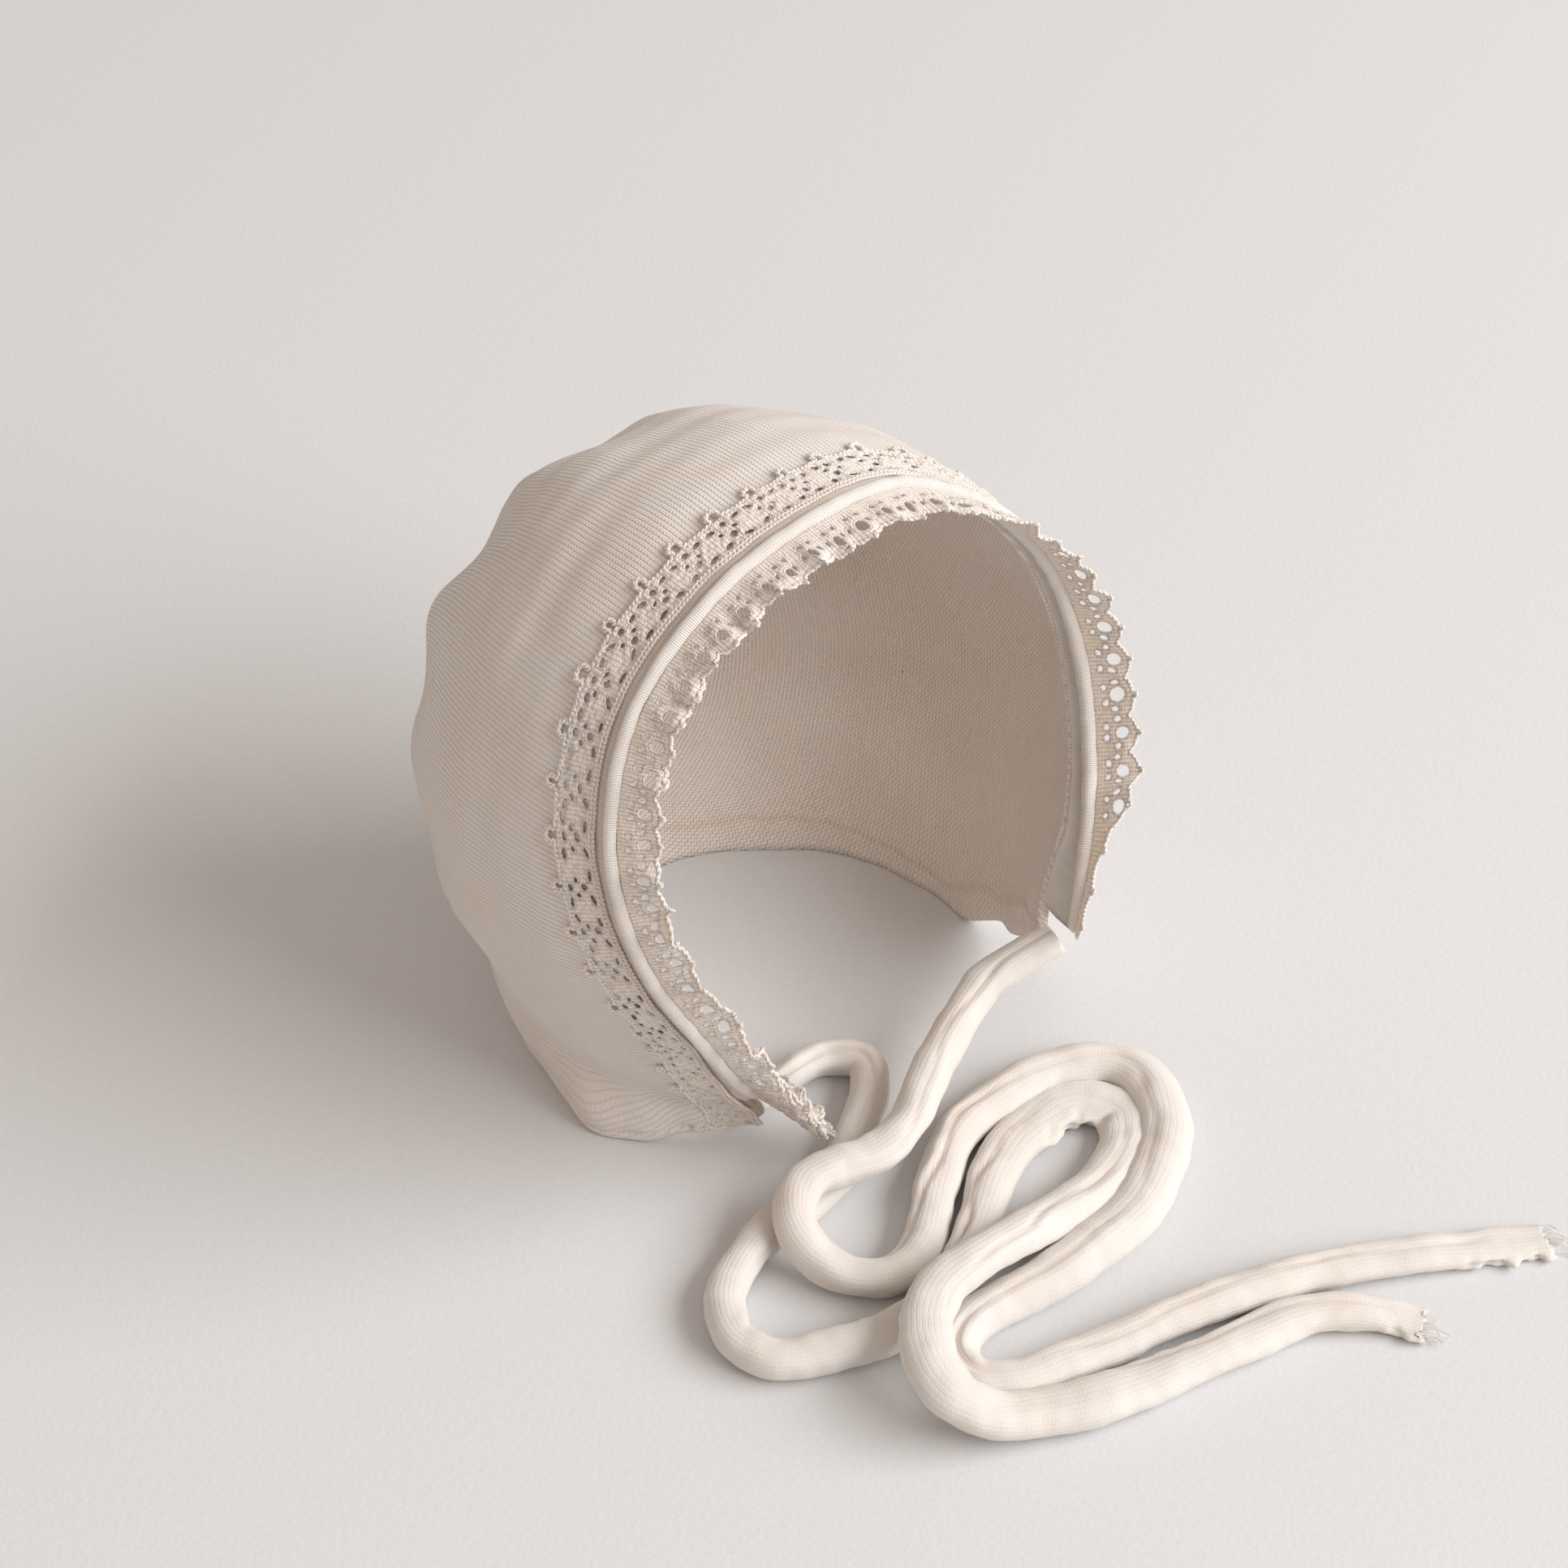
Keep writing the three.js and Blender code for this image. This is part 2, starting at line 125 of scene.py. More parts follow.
# Hollows and swellings of the skirt
DENTS = table(
    "part azimuth height across tall out",
    ("pouch", 191, 3, 9, 8, 3.6),
    ("tuck above the pouch", 187, 17, 14, 6, -2.2),
    ("drag line towards the chin", 212, 13, 12, 5, -1.6),
    ("slack of the other cheek", -24, 20, 14, 12, 2.4),
    ("side fold", 12, 24, 10, 14, -1.5),
    ("back fold", 62, 18, 9, 14, -1.6),
    ("back fold", 118, 18, 9, 14, -1.6),
)

# Middle lines of the ties from the cheek to the free end: x, y and height
TIE_LEFT_ROUTE = [
    [-24.6, -26.8, 6.6], [-16, -25.8, 5.8], [-6, -26.2, 4.2], [-1.5, -32, 3.9], [-5.5, -38, 3.9],
    [-13.5, -43.6, 3.9], [-23, -48.8, 3.9], [-34, -51.4, 3.9], [-45, -52.2, 3.9], [-55.5, -55.5, 3.9],
    [-62.5, -60.8, 3.9], [-66, -68, 3.9], [-64, -75.3, 3.9], [-56, -80.3, 3.9], [-47, -84.2, 3.9],
    [-38, -85.3, 3.9], [-29.3, -83.6, 3.9], [-21, -79.9, 3.9], [-13, -75.2, 3.9], [-2, -68.6, 3.9],
    [10, -64.9, 3.9], [21.5, -66.2, 3.9], [25.8, -74, 3.9], [19, -81.3, 3.9], [8.5, -85, 4.2],
    [-2, -85.9, 5.8], [-13.5, -86.7, 9], [-25, -87.5, 11.7], [-35, -87.7, 11.9], [-43, -91.5, 11.9],
    [-48.5, -98, 11.7], [-50.5, -105.5, 9.5], [-46.5, -111.3, 6], [-38, -116, 4], [-28, -120.8, 3.9],
    [-14, -125, 3.9], [0, -128.2, 3.9], [14, -132.3, 3.9], [22.6, -139, 3.9], [27.6, -146.5, 3.9],
]
TIE_RIGHT_ROUTE = [
    [35.6, -45.6, 23.9], [21.5, -41.8, 17.8], [11.5, -43.8, 14.8], [4, -46.7, 13.2], [-4, -50.5, 12.2],
    [-12.5, -54.8, 11.9], [-21, -56, 11.8], [-29, -53.6, 11.8], [-36.5, -52.8, 11.7], [-42.3, -57, 10.5],
    [-43.6, -63.5, 6], [-40.5, -70.5, 4], [-34.5, -75.2, 3.9], [-27, -74, 3.9], [-20, -69.2, 3.9],
    [-12.8, -64, 3.9], [-4.8, -59, 3.9], [5, -56.4, 3.9], [16.5, -56.3, 3.9], [26.6, -58.9, 3.9],
    [33.4, -64.5, 3.9], [34.8, -72, 3.9], [30, -81.2, 3.9], [21.3, -88, 3.9], [9.5, -93.6, 3.9],
    [-3.5, -94.8, 3.9], [-15.5, -94.6, 3.9], [-26, -92.8, 3.9], [-34.5, -93, 3.9], [-40.2, -96.8, 3.9],
    [-41.3, -102.6, 3.9], [-36.2, -107.4, 3.9], [-27.5, -110.2, 3.9], [-15, -113.6, 3.9], [-3, -116.8, 3.9],
    [10, -121, 3.9], [23.4, -126.1, 3.9], [36, -133, 3.9], [48, -140.5, 3.9], [60, -147.8, 3.9],
]

# How the ties' rolls change. at: share of the length. wide and tall: half of the roll's width and height.
# groove: degrees round the roll where the cloth's edge lies, 90 is on top and 180 is left of the run.
# deep: how far the groove cuts in.
TIE_LEFT_ROLL = table(
    "at wide tall groove deep",
    (0.0, 2.0, 2.2, 62, 0.3),
    (0.03, 3.5, 3.4, 66, 0.8),
    (0.10, 3.8, 3.5, 100, 0.4),
    (0.18, 3.8, 3.5, 150, 0.2),
    (0.30, 4.0, 3.5, 150, 0.2),
    (0.42, 4.1, 3.5, 118, 0.8),
    (0.46, 4.9, 3.0, 108, 0.5),
    (0.50, 5.8, 2.3, 96, 0.3),
    (0.535, 5.8, 2.3, 84, 0.3),
    (0.57, 4.9, 3.1, 84, 0.6),
    (0.62, 4.4, 3.4, 96, 0.5),
    (0.68, 4.2, 3.5, 120, 0.3),
    (0.76, 4.9, 3.7, 158, 0.1),
    (0.82, 4.8, 3.6, 160, 0.1),
    (0.90, 4.2, 3.4, 112, 0.5),
    (0.96, 3.9, 2.9, 100, 0.4),
    (1.0, 3.8, 1.5, 100, 0.2),
)
TIE_RIGHT_ROLL = table(
    "at wide tall groove deep",
    (0.0, 3.6, 3.5, 90, 0.5),
    (0.08, 3.8, 3.6, 100, 0.3),
    (0.18, 3.9, 3.5, 150, 0.2),
    (0.28, 3.9, 3.5, 140, 0.2),
    (0.36, 4.2, 3.5, 100, 0.7),
    (0.44, 4.5, 3.6, 70, 0.4),
    (0.52, 5.0, 3.6, 60, 0.2),
    (0.60, 5.0, 3.6, 84, 0.4),
    (0.66, 4.4, 3.4, 100, 0.7),
    (0.74, 4.1, 3.4, 84, 0.3),
    (0.84, 4.2, 3.4, 96, 0.5),
    (0.93, 4.2, 2.6, 92, 0.4),
    (1.0, 4.3, 1.2, 100, 0.2),
)

# Camera, at the picture's angle
CAMERA_PLACE = (-0.3621, -0.4033, 0.5064)
CAMERA_TARGET = (0.0009, -0.0086, 0.0564)
CAMERA_LENS = 86.5
CAMERA_SENSOR = 36.0

CAP_CENTRE = np.array([0.0, 0.0, CAP_HEIGHT])
TILT = math.radians(OPENING_TILT)
OPENING = np.array([0.0, -math.cos(TILT), math.sin(TILT)])
OPENING_UP = np.array([0.0, math.sin(TILT), math.cos(TILT)])
OPENING_SIDE = np.array([1.0, 0.0, 0.0])
GATHER_POINT = -OPENING
UP = np.array([0.0, 0.0, 1.0])
ARC_MM = CAP_RADIUS * math.pi / 180
FULL_TURN = 2 * math.pi


def aim(thing, place, target):
    """Puts a camera or a lamp at a place and points it at a target."""
    thing.location = place
    thing.rotation_euler = (Vector(target) - Vector(place)).to_track_quat("-Z", "Y").to_euler()
    bpy.context.scene.collection.objects.link(thing)


def picture_camera():
    camera = bpy.data.objects.new("camera", bpy.data.cameras.new("camera"))
    camera.data.lens = CAMERA_LENS
    camera.data.sensor_width = CAMERA_SENSOR
    aim(camera, CAMERA_PLACE, CAMERA_TARGET)
    bpy.context.scene.camera = camera


# Sums

def between(rows, key, name, at):
    """Values between the rows of a table, eased from row to row."""
    keys = np.array([row[key] for row in rows], float)
    values = np.array([row[name] for row in rows], float)
    at = np.clip(at, keys[0], keys[-1])
    i = np.clip(np.searchsorted(keys, at, side="right") - 1, 0, len(keys) - 2)
    part = (at - keys[i]) / (keys[i + 1] - keys[i])
    eased = (1 - np.cos(np.pi * part)) / 2
    return values[i] + (values[i + 1] - values[i]) * eased


def bell(distance, spread):
    return np.exp(-((distance / spread) ** 2))


def smoothstep(value, low, high):
    part = np.clip((value - low) / (high - low), 0, 1)
    return part * part * (3 - 2 * part)


def unit(vectors):
    return vectors / np.linalg.norm(vectors, axis=-1, keepdims=True)


def dot(vectors, axis):
    return (vectors * axis).sum(-1)


def lumps(points, size, seed):
    """Smooth random waves through space, about -1 to 1, with hills about size millimetres apart."""
    draw = np.random.default_rng(seed)
    waves = 14
    total = np.zeros(points.shape[:-1])
    for _ in range(waves):
        heading = unit(draw.normal(size=3))
        pace = FULL_TURN / (size * draw.uniform(0.7, 1.5))
        total += np.sin(points @ heading * pace + draw.uniform(0, FULL_TURN))
    return total / math.sqrt(waves)


def lumps_along(distance, size, seed):
    """The same along a line, from distances on it."""
    rest = np.zeros_like(distance)
    return lumps(np.stack([distance, rest, rest], axis=-1), size, seed)


def evened(values, width):
    """Values round a closed row, evened out over width neighbours."""
    weights = np.hanning(width + 2)[1:-1]
    weights = weights / weights.sum()
    half = width // 2
    shifts = range(-half, half + 1)
    return sum(weight * np.roll(values, shift, axis=0) for weight, shift in zip(weights, shifts))


# Curves

def smooth_curve(points):
    """A smooth line through the points as a dense row of places."""
    steps = 40
    p = np.asarray(points, float)
    p = np.vstack([2 * p[0] - p[1], p, 2 * p[-1] - p[-2]])
    t = np.linspace(0, 1, steps, endpoint=False)[:, None]
    line = []
    for a, b, c, d in zip(p, p[1:], p[2:], p[3:]):
        first, span, last = (math.sqrt(np.linalg.norm(v)) for v in (b - a, c - b, d - c))
        leave = ((b - a) / first - (c - a) / (first + span) + (c - b) / span) * span
        arrive = ((c - b) / span - (d - b) / (span + last) + (d - c) / last) * span
        bend = -3 * b + 3 * c - 2 * leave - arrive
        curl = 2 * b - 2 * c + leave + arrive
        line.append(b + leave * t + bend * t**2 + curl * t**3)
    return np.vstack(line + [p[-2:-1]])


def distances(line):
    steps = np.linalg.norm(np.diff(line, axis=0), axis=1)
    return np.concatenate([[0], np.cumsum(steps)])


def at_distances(line, wanted):
    """Places on a line at the wanted distances along it."""
    along = distances(line)
    return np.stack([np.interp(wanted, along, line[:, i]) for i in range(3)], axis=-1)


def headings(line):
    return unit(np.gradient(line, axis=0))


# The cap's surface

def azimuth_of(x, y):
    azimuth = np.degrees(np.arctan2(y, x))
    return np.where(azimuth < -90, azimuth + 360, azimuth)


def skirt_radius(azimuth, height):
    """How far out the skirt stands at an azimuth and height, below where it leaves the cap's round."""
    top_radius = math.sqrt(CAP_RADIUS**2 - (CAP_HEIGHT - SKIRT_TOP) ** 2)
    top_slope = (CAP_HEIGHT - SKIRT_TOP) / top_radius
    foot = between(HEM, "azimuth", "radius", azimuth)
    down = np.clip(1 - height / SKIRT_TOP, 0, 1)
    natural = top_radius - top_slope * SKIRT_TOP
    radius = top_radius - top_slope * SKIRT_TOP * down + (foot - natural) * down * down
    for dent in DENTS:
        aside = np.radians(azimuth - dent["azimuth"]) * foot
        within = bell(aside, dent["across"]) * bell(height - dent["height"], dent["tall"])
        radius = radius + dent["out"] * within
    return radius


def turn_and_reach(direction):
    """Degrees round the opening's axis from the top, and degrees from the gathering point."""
    turn = np.degrees(np.arctan2(dot(direction, OPENING_SIDE), dot(direction, OPENING_UP)))
    reach = np.degrees(np.arccos(np.clip(dot(direction, GATHER_POINT), -1, 1)))
    return turn, reach


def gathers(direction):
    turn, reach = turn_and_reach(direction)
    relief = -GATHER_DIMPLE * bell(reach, DIMPLE_REACH)
    for fold in GATHER_FOLDS:
        aside = (turn - fold["turn"] + 180) % 360 - 180
        relief = relief + fold["height"] * bell(aside, FOLD_SPREAD) * bell(reach - FOLD_PEAK, FOLD_REACH)
    return relief


def cap_radius(direction):
    """Distance from the cap's centre to its outside along each direction."""
    shape = direction.shape[:-1]
    direction = direction.reshape(-1, 3)
    relief = gathers(direction)
    radius = CAP_RADIUS + relief
    low = CAP_HEIGHT + CAP_RADIUS * direction[:, 2] < SKIRT_TOP
    below = direction[low]
    azimuth = azimuth_of(below[:, 0], below[:, 1])
    flat = np.hypot(below[:, 0], below[:, 1])
    near = np.full(len(below), CAP_RADIUS / 2)
    far = np.full(len(below), CAP_RADIUS * 2)
    halvings = 24
    for _ in range(halvings):
        middle = (near + far) / 2
        height = np.maximum(CAP_HEIGHT + middle * below[:, 2], 0)
        inside = middle * flat < skirt_radius(azimuth, height)
        near = np.where(inside, middle, near)
        far = np.where(inside, far, middle)
    height = np.maximum(CAP_HEIGHT + near * below[:, 2], 0)
    plain_hem = 2
    full_relief = 16
    radius[low] = near + relief[low] * smoothstep(height, plain_hem, full_relief)
    return radius.reshape(shape)


def on_cap(direction, outside=0.0):
    return direction * (cap_radius(direction) + outside)[..., None] + CAP_CENTRE


# The rim

RIM_LINE = smooth_curve([
    CAP_CENTRE
    + OPENING * row["forward"]
    + OPENING_UP * row["radius"] * math.cos(math.radians(row["angle"]))
    + OPENING_SIDE * row["radius"] * math.sin(math.radians(row["angle"]))
    for row in RIM
])
RIM_LENGTH = distances(RIM_LINE)[-1]


def rim_frames(share):
    """Places on the rim at shares of its length, with the directions along it, out from the cap and back over
    the cap, and the angle round the opening."""
    share = np.asarray(share, float)
    small = 0.0008
    place = at_distances(RIM_LINE, share * RIM_LENGTH)
    ahead = at_distances(RIM_LINE, np.minimum(share + small, 1) * RIM_LENGTH)
    behind = at_distances(RIM_LINE, np.maximum(share - small, 0) * RIM_LENGTH)
    along = unit(ahead - behind)
    from_centre = place - CAP_CENTRE
    back = unit(np.cross(unit(from_centre), along))
    out = unit(np.cross(along, back))
    angle = np.degrees(np.arctan2(dot(from_centre, OPENING_SIDE), dot(from_centre, OPENING_UP)))
    return place, along, out, back, angle


def behind_rim(share, across, lift):
    """A place on the cap, across millimetres behind the rim's line and lift over the jersey."""
    place, _, _, back, _ = rim_frames(share)
    across = np.broadcast_to(across, place.shape[:-1])
    return on_cap(unit(place + back * across[..., None] - CAP_CENTRE), lift)


# Meshes

class Pieces:
    """Gathers many small meshes, given in any coordinates, into one."""

    def __init__(self):
        self.points, self.quads, self.triangles, self.painted_shades = [], [], [], []
        self.count = 0

    def add(self, points, quads, triangles=(), painted_shade=0.0):
        points = np.asarray(points, float)
        self.points.append(points)
        self.quads.append(np.asarray(quads, int).reshape(-1, 4) + self.count)
        self.triangles.append(np.asarray(triangles, int).reshape(-1, 3) + self.count)
        self.painted_shades.append(np.broadcast_to(painted_shade, len(points)))
        self.count += len(points)

    def joined(self):
        parts = (self.points, self.quads, self.triangles, self.painted_shades)
        return tuple(np.concatenate(part) for part in parts)


def grid_quads(rows, columns):
    """The faces of a grid of points whose columns close on themselves, row by row."""
    row, column = np.meshgrid(np.arange(rows - 1), np.arange(columns), indexing="ij")
    following = (column + 1) % columns
    here, next_row = row * columns, (row + 1) * columns
    corners = [here + column, here + following, next_row + following, next_row + column]
    return np.stack(corners, axis=-1).reshape(-1, 4)


def closed_run(rings, first_end, last_end):
    """Points and faces of a run of rings, with each of its ends drawn together in a point."""
    count, sides = rings.shape[:2]
    points = np.vstack([rings.reshape(-1, 3), first_end, last_end])
    around = np.arange(sides)
    following = (around + 1) % sides
    last = (count - 1) * sides
    first_fan = np.stack([np.full(sides, count * sides), following, around], axis=-1)
    last_fan = np.stack([np.full(sides, count * sides + 1), last + around, last + following], axis=-1)
    return points, grid_quads(count, sides), np.vstack([first_fan, last_fan])


def tube(line, radius, sides, closed=False):
    """A round thread along a line, open or closed on itself."""
    if closed:
        heading = unit(np.roll(line, -1, axis=0) - np.roll(line, 1, axis=0))
    else:
        heading = headings(line)
    helper = np.array([0.13, 0.21, 0.97])
    side = unit(np.cross(heading, helper))
    lift = np.cross(side, heading)
    turn = np.linspace(0, FULL_TURN, sides, endpoint=False)[None, :, None]
    rings = line[:, None] + (side[:, None] * np.cos(turn) + lift[:, None] * np.sin(turn)) * radius
    if closed:
        count = len(line)
        return rings.reshape(-1, 3), grid_quads(count + 1, sides) % (count * sides)
    return closed_run(rings, line[0], line[-1])


def unwrapped(corner, sizes, period):
    """The knit's places at the faces' corners, with the faces that straddle the last wale kept whole."""
    begin = 0
    for count, size in sizes:
        block = slice(begin, begin + count * size)
        wales = corner[block, 0].reshape(-1, size)
        middle = (wales.max(1) + wales.min(1))[:, None] / 2
        straddles = (wales.max(1) - wales.min(1) > period / 2)[:, None]
        corner[block, 0] = np.where(straddles & (wales < middle), wales + period, wales).ravel()
        begin += count * size
    return corner


def cloth_object(name, pieces, material, knit, period=None, crowded=0.0):
    """A mesh object from points in millimetres, faces, and how much painted shade each point takes where it
    lies in a crease. knit gives each point's place in the knit, in wales and courses, and period is the wales
    all the way round. crowded says where the stitches are drawn together until they no longer show."""
    points, quads, triangles, painted_shade = pieces
    places = (points - [0, CAP_FORWARD, 0]) * MM
    loops = np.concatenate([quads.ravel(), triangles.ravel()])
    starts = np.concatenate([np.arange(len(quads)) * 4, quads.size + np.arange(len(triangles)) * 3])
    mesh = bpy.data.meshes.new(name)
    mesh.vertices.add(len(places))
    mesh.vertices.foreach_set("co", places.ravel())
    mesh.loops.add(len(loops))
    mesh.loops.foreach_set("vertex_index", loops)
    mesh.polygons.add(len(starts))
    mesh.polygons.foreach_set("loop_start", starts)
    mesh.polygons.foreach_set("use_smooth", np.ones(len(starts), bool))
    # The painted shade of each point goes on the mesh as an attribute, beside the crowding of the stitches
    for label, values in (("painted_shade", painted_shade), ("crowded", crowded)):
        attribute = mesh.attributes.new(label, "FLOAT", "POINT")
        attribute.data.foreach_set("value", np.broadcast_to(values, len(places)).astype(float))
    corner = knit[loops]
    if period:
        corner = unwrapped(corner, ((len(quads), 4), (len(triangles), 3)), period)
    mesh.uv_layers.new(name="knit").data.foreach_set("uv", corner.ravel())
    mesh.update(calc_edges=True)
    mesh.validate()
    turned = bmesh.new()
    turned.from_mesh(mesh)
    bmesh.ops.recalc_face_normals(turned, faces=turned.faces)
    turned.to_mesh(mesh)
    turned.free()
    mesh.materials.append(material)
    piece = bpy.data.objects.new(name, mesh)
    bpy.context.scene.collection.objects.link(piece)
    return piece


def stand_for(piece, node):
    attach(piece, "root")
    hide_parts(node)


# Cloth materials

NUMBER = "NodeSocketFloat"
VECTOR = "NodeSocketVector"
COLOUR = "NodeSocketColor"


def fill(tree, node, inputs):
    """Gives each of a node's inputs a value or another node's socket."""
    for socket, value in inputs.items():
        if isinstance(value, bpy.types.NodeSocket):
            tree.links.new(value, node.inputs[socket])
        else:
            node.inputs[socket].default_value = value


def add_node(tree, kind, inputs=None, **settings):
    node = tree.nodes.new(kind)
    for name, value in settings.items():
        setattr(node, name, value)
    fill(tree, node, inputs or {})
    return node


def calculate(tree, operation, *values, clamp=False):
    """One sum on numbers or sockets. Gives the result's socket."""
    node = add_node(tree, "ShaderNodeMath", dict(enumerate(values)), operation=operation, use_clamp=clamp)
    return node.outputs[0]


def mix_colours(tree, share, a, b):
    share_in, a_in, b_in, colour_out = 0, 6, 7, 2
    node = add_node(tree, "ShaderNodeMix", {share_in: share}, data_type="RGBA")
    fill(tree, node, {a_in: a, b_in: b})
    return node.outputs[colour_out]


def new_group(name, inputs, outputs):
    """An empty node group with named inputs and outputs: the sockets inside it that give its inputs, and the
    node that takes its outputs."""
    group = bpy.data.node_groups.new(name, "ShaderNodeTree")
    for label, kind in inputs:
        group.interface.new_socket(label, in_out="INPUT", socket_type=kind)
    for label, kind in outputs:
        group.interface.new_socket(label, in_out="OUTPUT", socket_type=kind)
    entry = group.nodes.new("NodeGroupInput")
    leave = group.nodes.new("NodeGroupOutput")
    return group, entry.outputs, leave


def knit_group():
    """Jersey's right side: wales of V stitches with grooves between them, and a mask of the grooves that is
    used as painted shade.
    """
    group, given, leave = new_group(
        "jersey knit", [("Knit", VECTOR)], [("Height", NUMBER), ("Groove", NUMBER)]
    )
    sway, slant = 0.25, 0.5
    roundness, dip_roundness, dip = 2.6, 3.0, 0.3
    stitch_share, groove_sharpness = 0.35, 5.0
    wobble = add_node(group, "ShaderNodeTexNoise", {"Vector": given["Knit"], "Scale": 0.35, "Detail": 3.0})
    place = add_node(group, "ShaderNodeSeparateXYZ", {"Vector": given["Knit"]})
    swayed = calculate(group, "MULTIPLY_ADD", wobble.outputs["Fac"], sway, place.outputs["X"])
    across = calculate(group, "FRACT", swayed)
    leg = calculate(group, "ABSOLUTE", calculate(group, "MULTIPLY_ADD", across, 2.0, -1.0))
    slanted = calculate(group, "MULTIPLY_ADD", leg, slant, place.outputs["Y"])
    half_turn = calculate(group, "MULTIPLY", calculate(group, "FRACT", slanted), math.pi)
    stitch = calculate(group, "SINE", half_turn)
    round_leg = calculate(group, "SUBTRACT", 1.0, calculate(group, "POWER", leg, roundness))
    middle = calculate(group, "POWER", calculate(group, "SUBTRACT", 1.0, leg), dip_roundness)
    crest = calculate(group, "SUBTRACT", round_leg, calculate(group, "MULTIPLY", middle, dip))
    along = calculate(group, "MULTIPLY_ADD", stitch, stitch_share, 1 - stitch_share)
    height = calculate(group, "MULTIPLY", crest, along)
    fill(group, leave, {"Height": height, "Groove": calculate(group, "POWER", leg, groove_sharpness)})
    return group


def purl_group():
    """Jersey's wrong side: rows of small half-round loops, and a mask between the rows that is used as
    painted shade.
    """
    group, given, leave = new_group(
        "jersey purl side", [("Knit", VECTOR)], [("Height", NUMBER), ("Groove", NUMBER)]
    )
    loop_rise, roundness = 0.22, 0.7
    place = add_node(group, "ShaderNodeSeparateXYZ", {"Vector": given["Knit"]})
    wave = calculate(group, "SINE", calculate(group, "MULTIPLY", place.outputs["X"], FULL_TURN))
    lifted = calculate(group, "FRACT", calculate(group, "MULTIPLY_ADD", wave, loop_rise, place.outputs["Y"]))
    row = calculate(group, "SINE", calculate(group, "MULTIPLY", lifted, math.pi))
    height = calculate(group, "POWER", row, roundness)
    fill(group, leave, {"Height": height, "Groove": calculate(group, "SUBTRACT", 1.0, row)})
    return group


def cotton_group():
    """Cotton's colour and surface: soft clouds of tint, painted shade in tan in creases and in the grooves
    between stitches, seed flecks, and fibres as height.
    """
    group, given, leave = new_group(
        "cotton",
        [("Cream", COLOUR), ("Tan", COLOUR), ("Painted shade", NUMBER), ("Groove", NUMBER)],
        [("Color", COLOUR), ("Roughness", NUMBER), ("Fibres", NUMBER)],
    )
    groove_shade_share = 0.35
    fleck_size, fleck_rarity, fleck_share = 0.035, 0.86, 0.45
    seed_brown = (0.42, 0.30, 0.20, 1)
    where = add_node(group, "ShaderNodeTexCoord").outputs["Object"]
    clouds = add_node(group, "ShaderNodeTexNoise", {"Vector": where, "Scale": 55.0, "Detail": 3.0})
    cloud = calculate(group, "MULTIPLY_ADD", clouds.outputs["Fac"], 0.5, -0.15, clamp=True)
    tinted = mix_colours(group, cloud, given["Cream"], given["Tan"])
    # Painted shade: creases, and the grooves between stitches, darken the colour towards tan
    shaded_creases = mix_colours(group, given["Painted shade"], tinted, given["Tan"])
    groove = calculate(group, "MULTIPLY", given["Groove"], groove_shade_share)
    groove_shaded = mix_colours(group, groove, shaded_creases, given["Tan"])
    flecks = add_node(group, "ShaderNodeTexVoronoi", {"Vector": where, "Scale": 90.0, "Randomness": 1.0})
    tint = add_node(group, "ShaderNodeSeparateXYZ", {"Vector": flecks.outputs["Color"]})
    small = calculate(group, "LESS_THAN", flecks.outputs["Distance"], fleck_size)
    rare = calculate(group, "GREATER_THAN", tint.outputs["X"], fleck_rarity)
    fleck = calculate(group, "MULTIPLY", calculate(group, "MULTIPLY", small, rare), fleck_share)
    fibres = add_node(
        group, "ShaderNodeTexNoise", {"Vector": where, "Scale": 2600.0, "Detail": 4.0, "Roughness": 0.65}
    )
    rough = calculate(group, "MULTIPLY_ADD", fibres.outputs["Fac"], 0.16, 0.84, clamp=True)
    colour = mix_colours(group, fleck, groove_shaded, seed_brown)
    fill(group, leave, {"Color": colour, "Roughness": rough, "Fibres": fibres.outputs["Fac"]})
    return group


KNIT = knit_group()
PURL = purl_group()
COTTON = cotton_group()
FIBRE_HEIGHT = 0.00006
# TAN is the colour of the cotton's random clouds of tint, and of the painted shade in creases and in the
# grooves between stitches
TAN = (0.72, 0.54, 0.42)


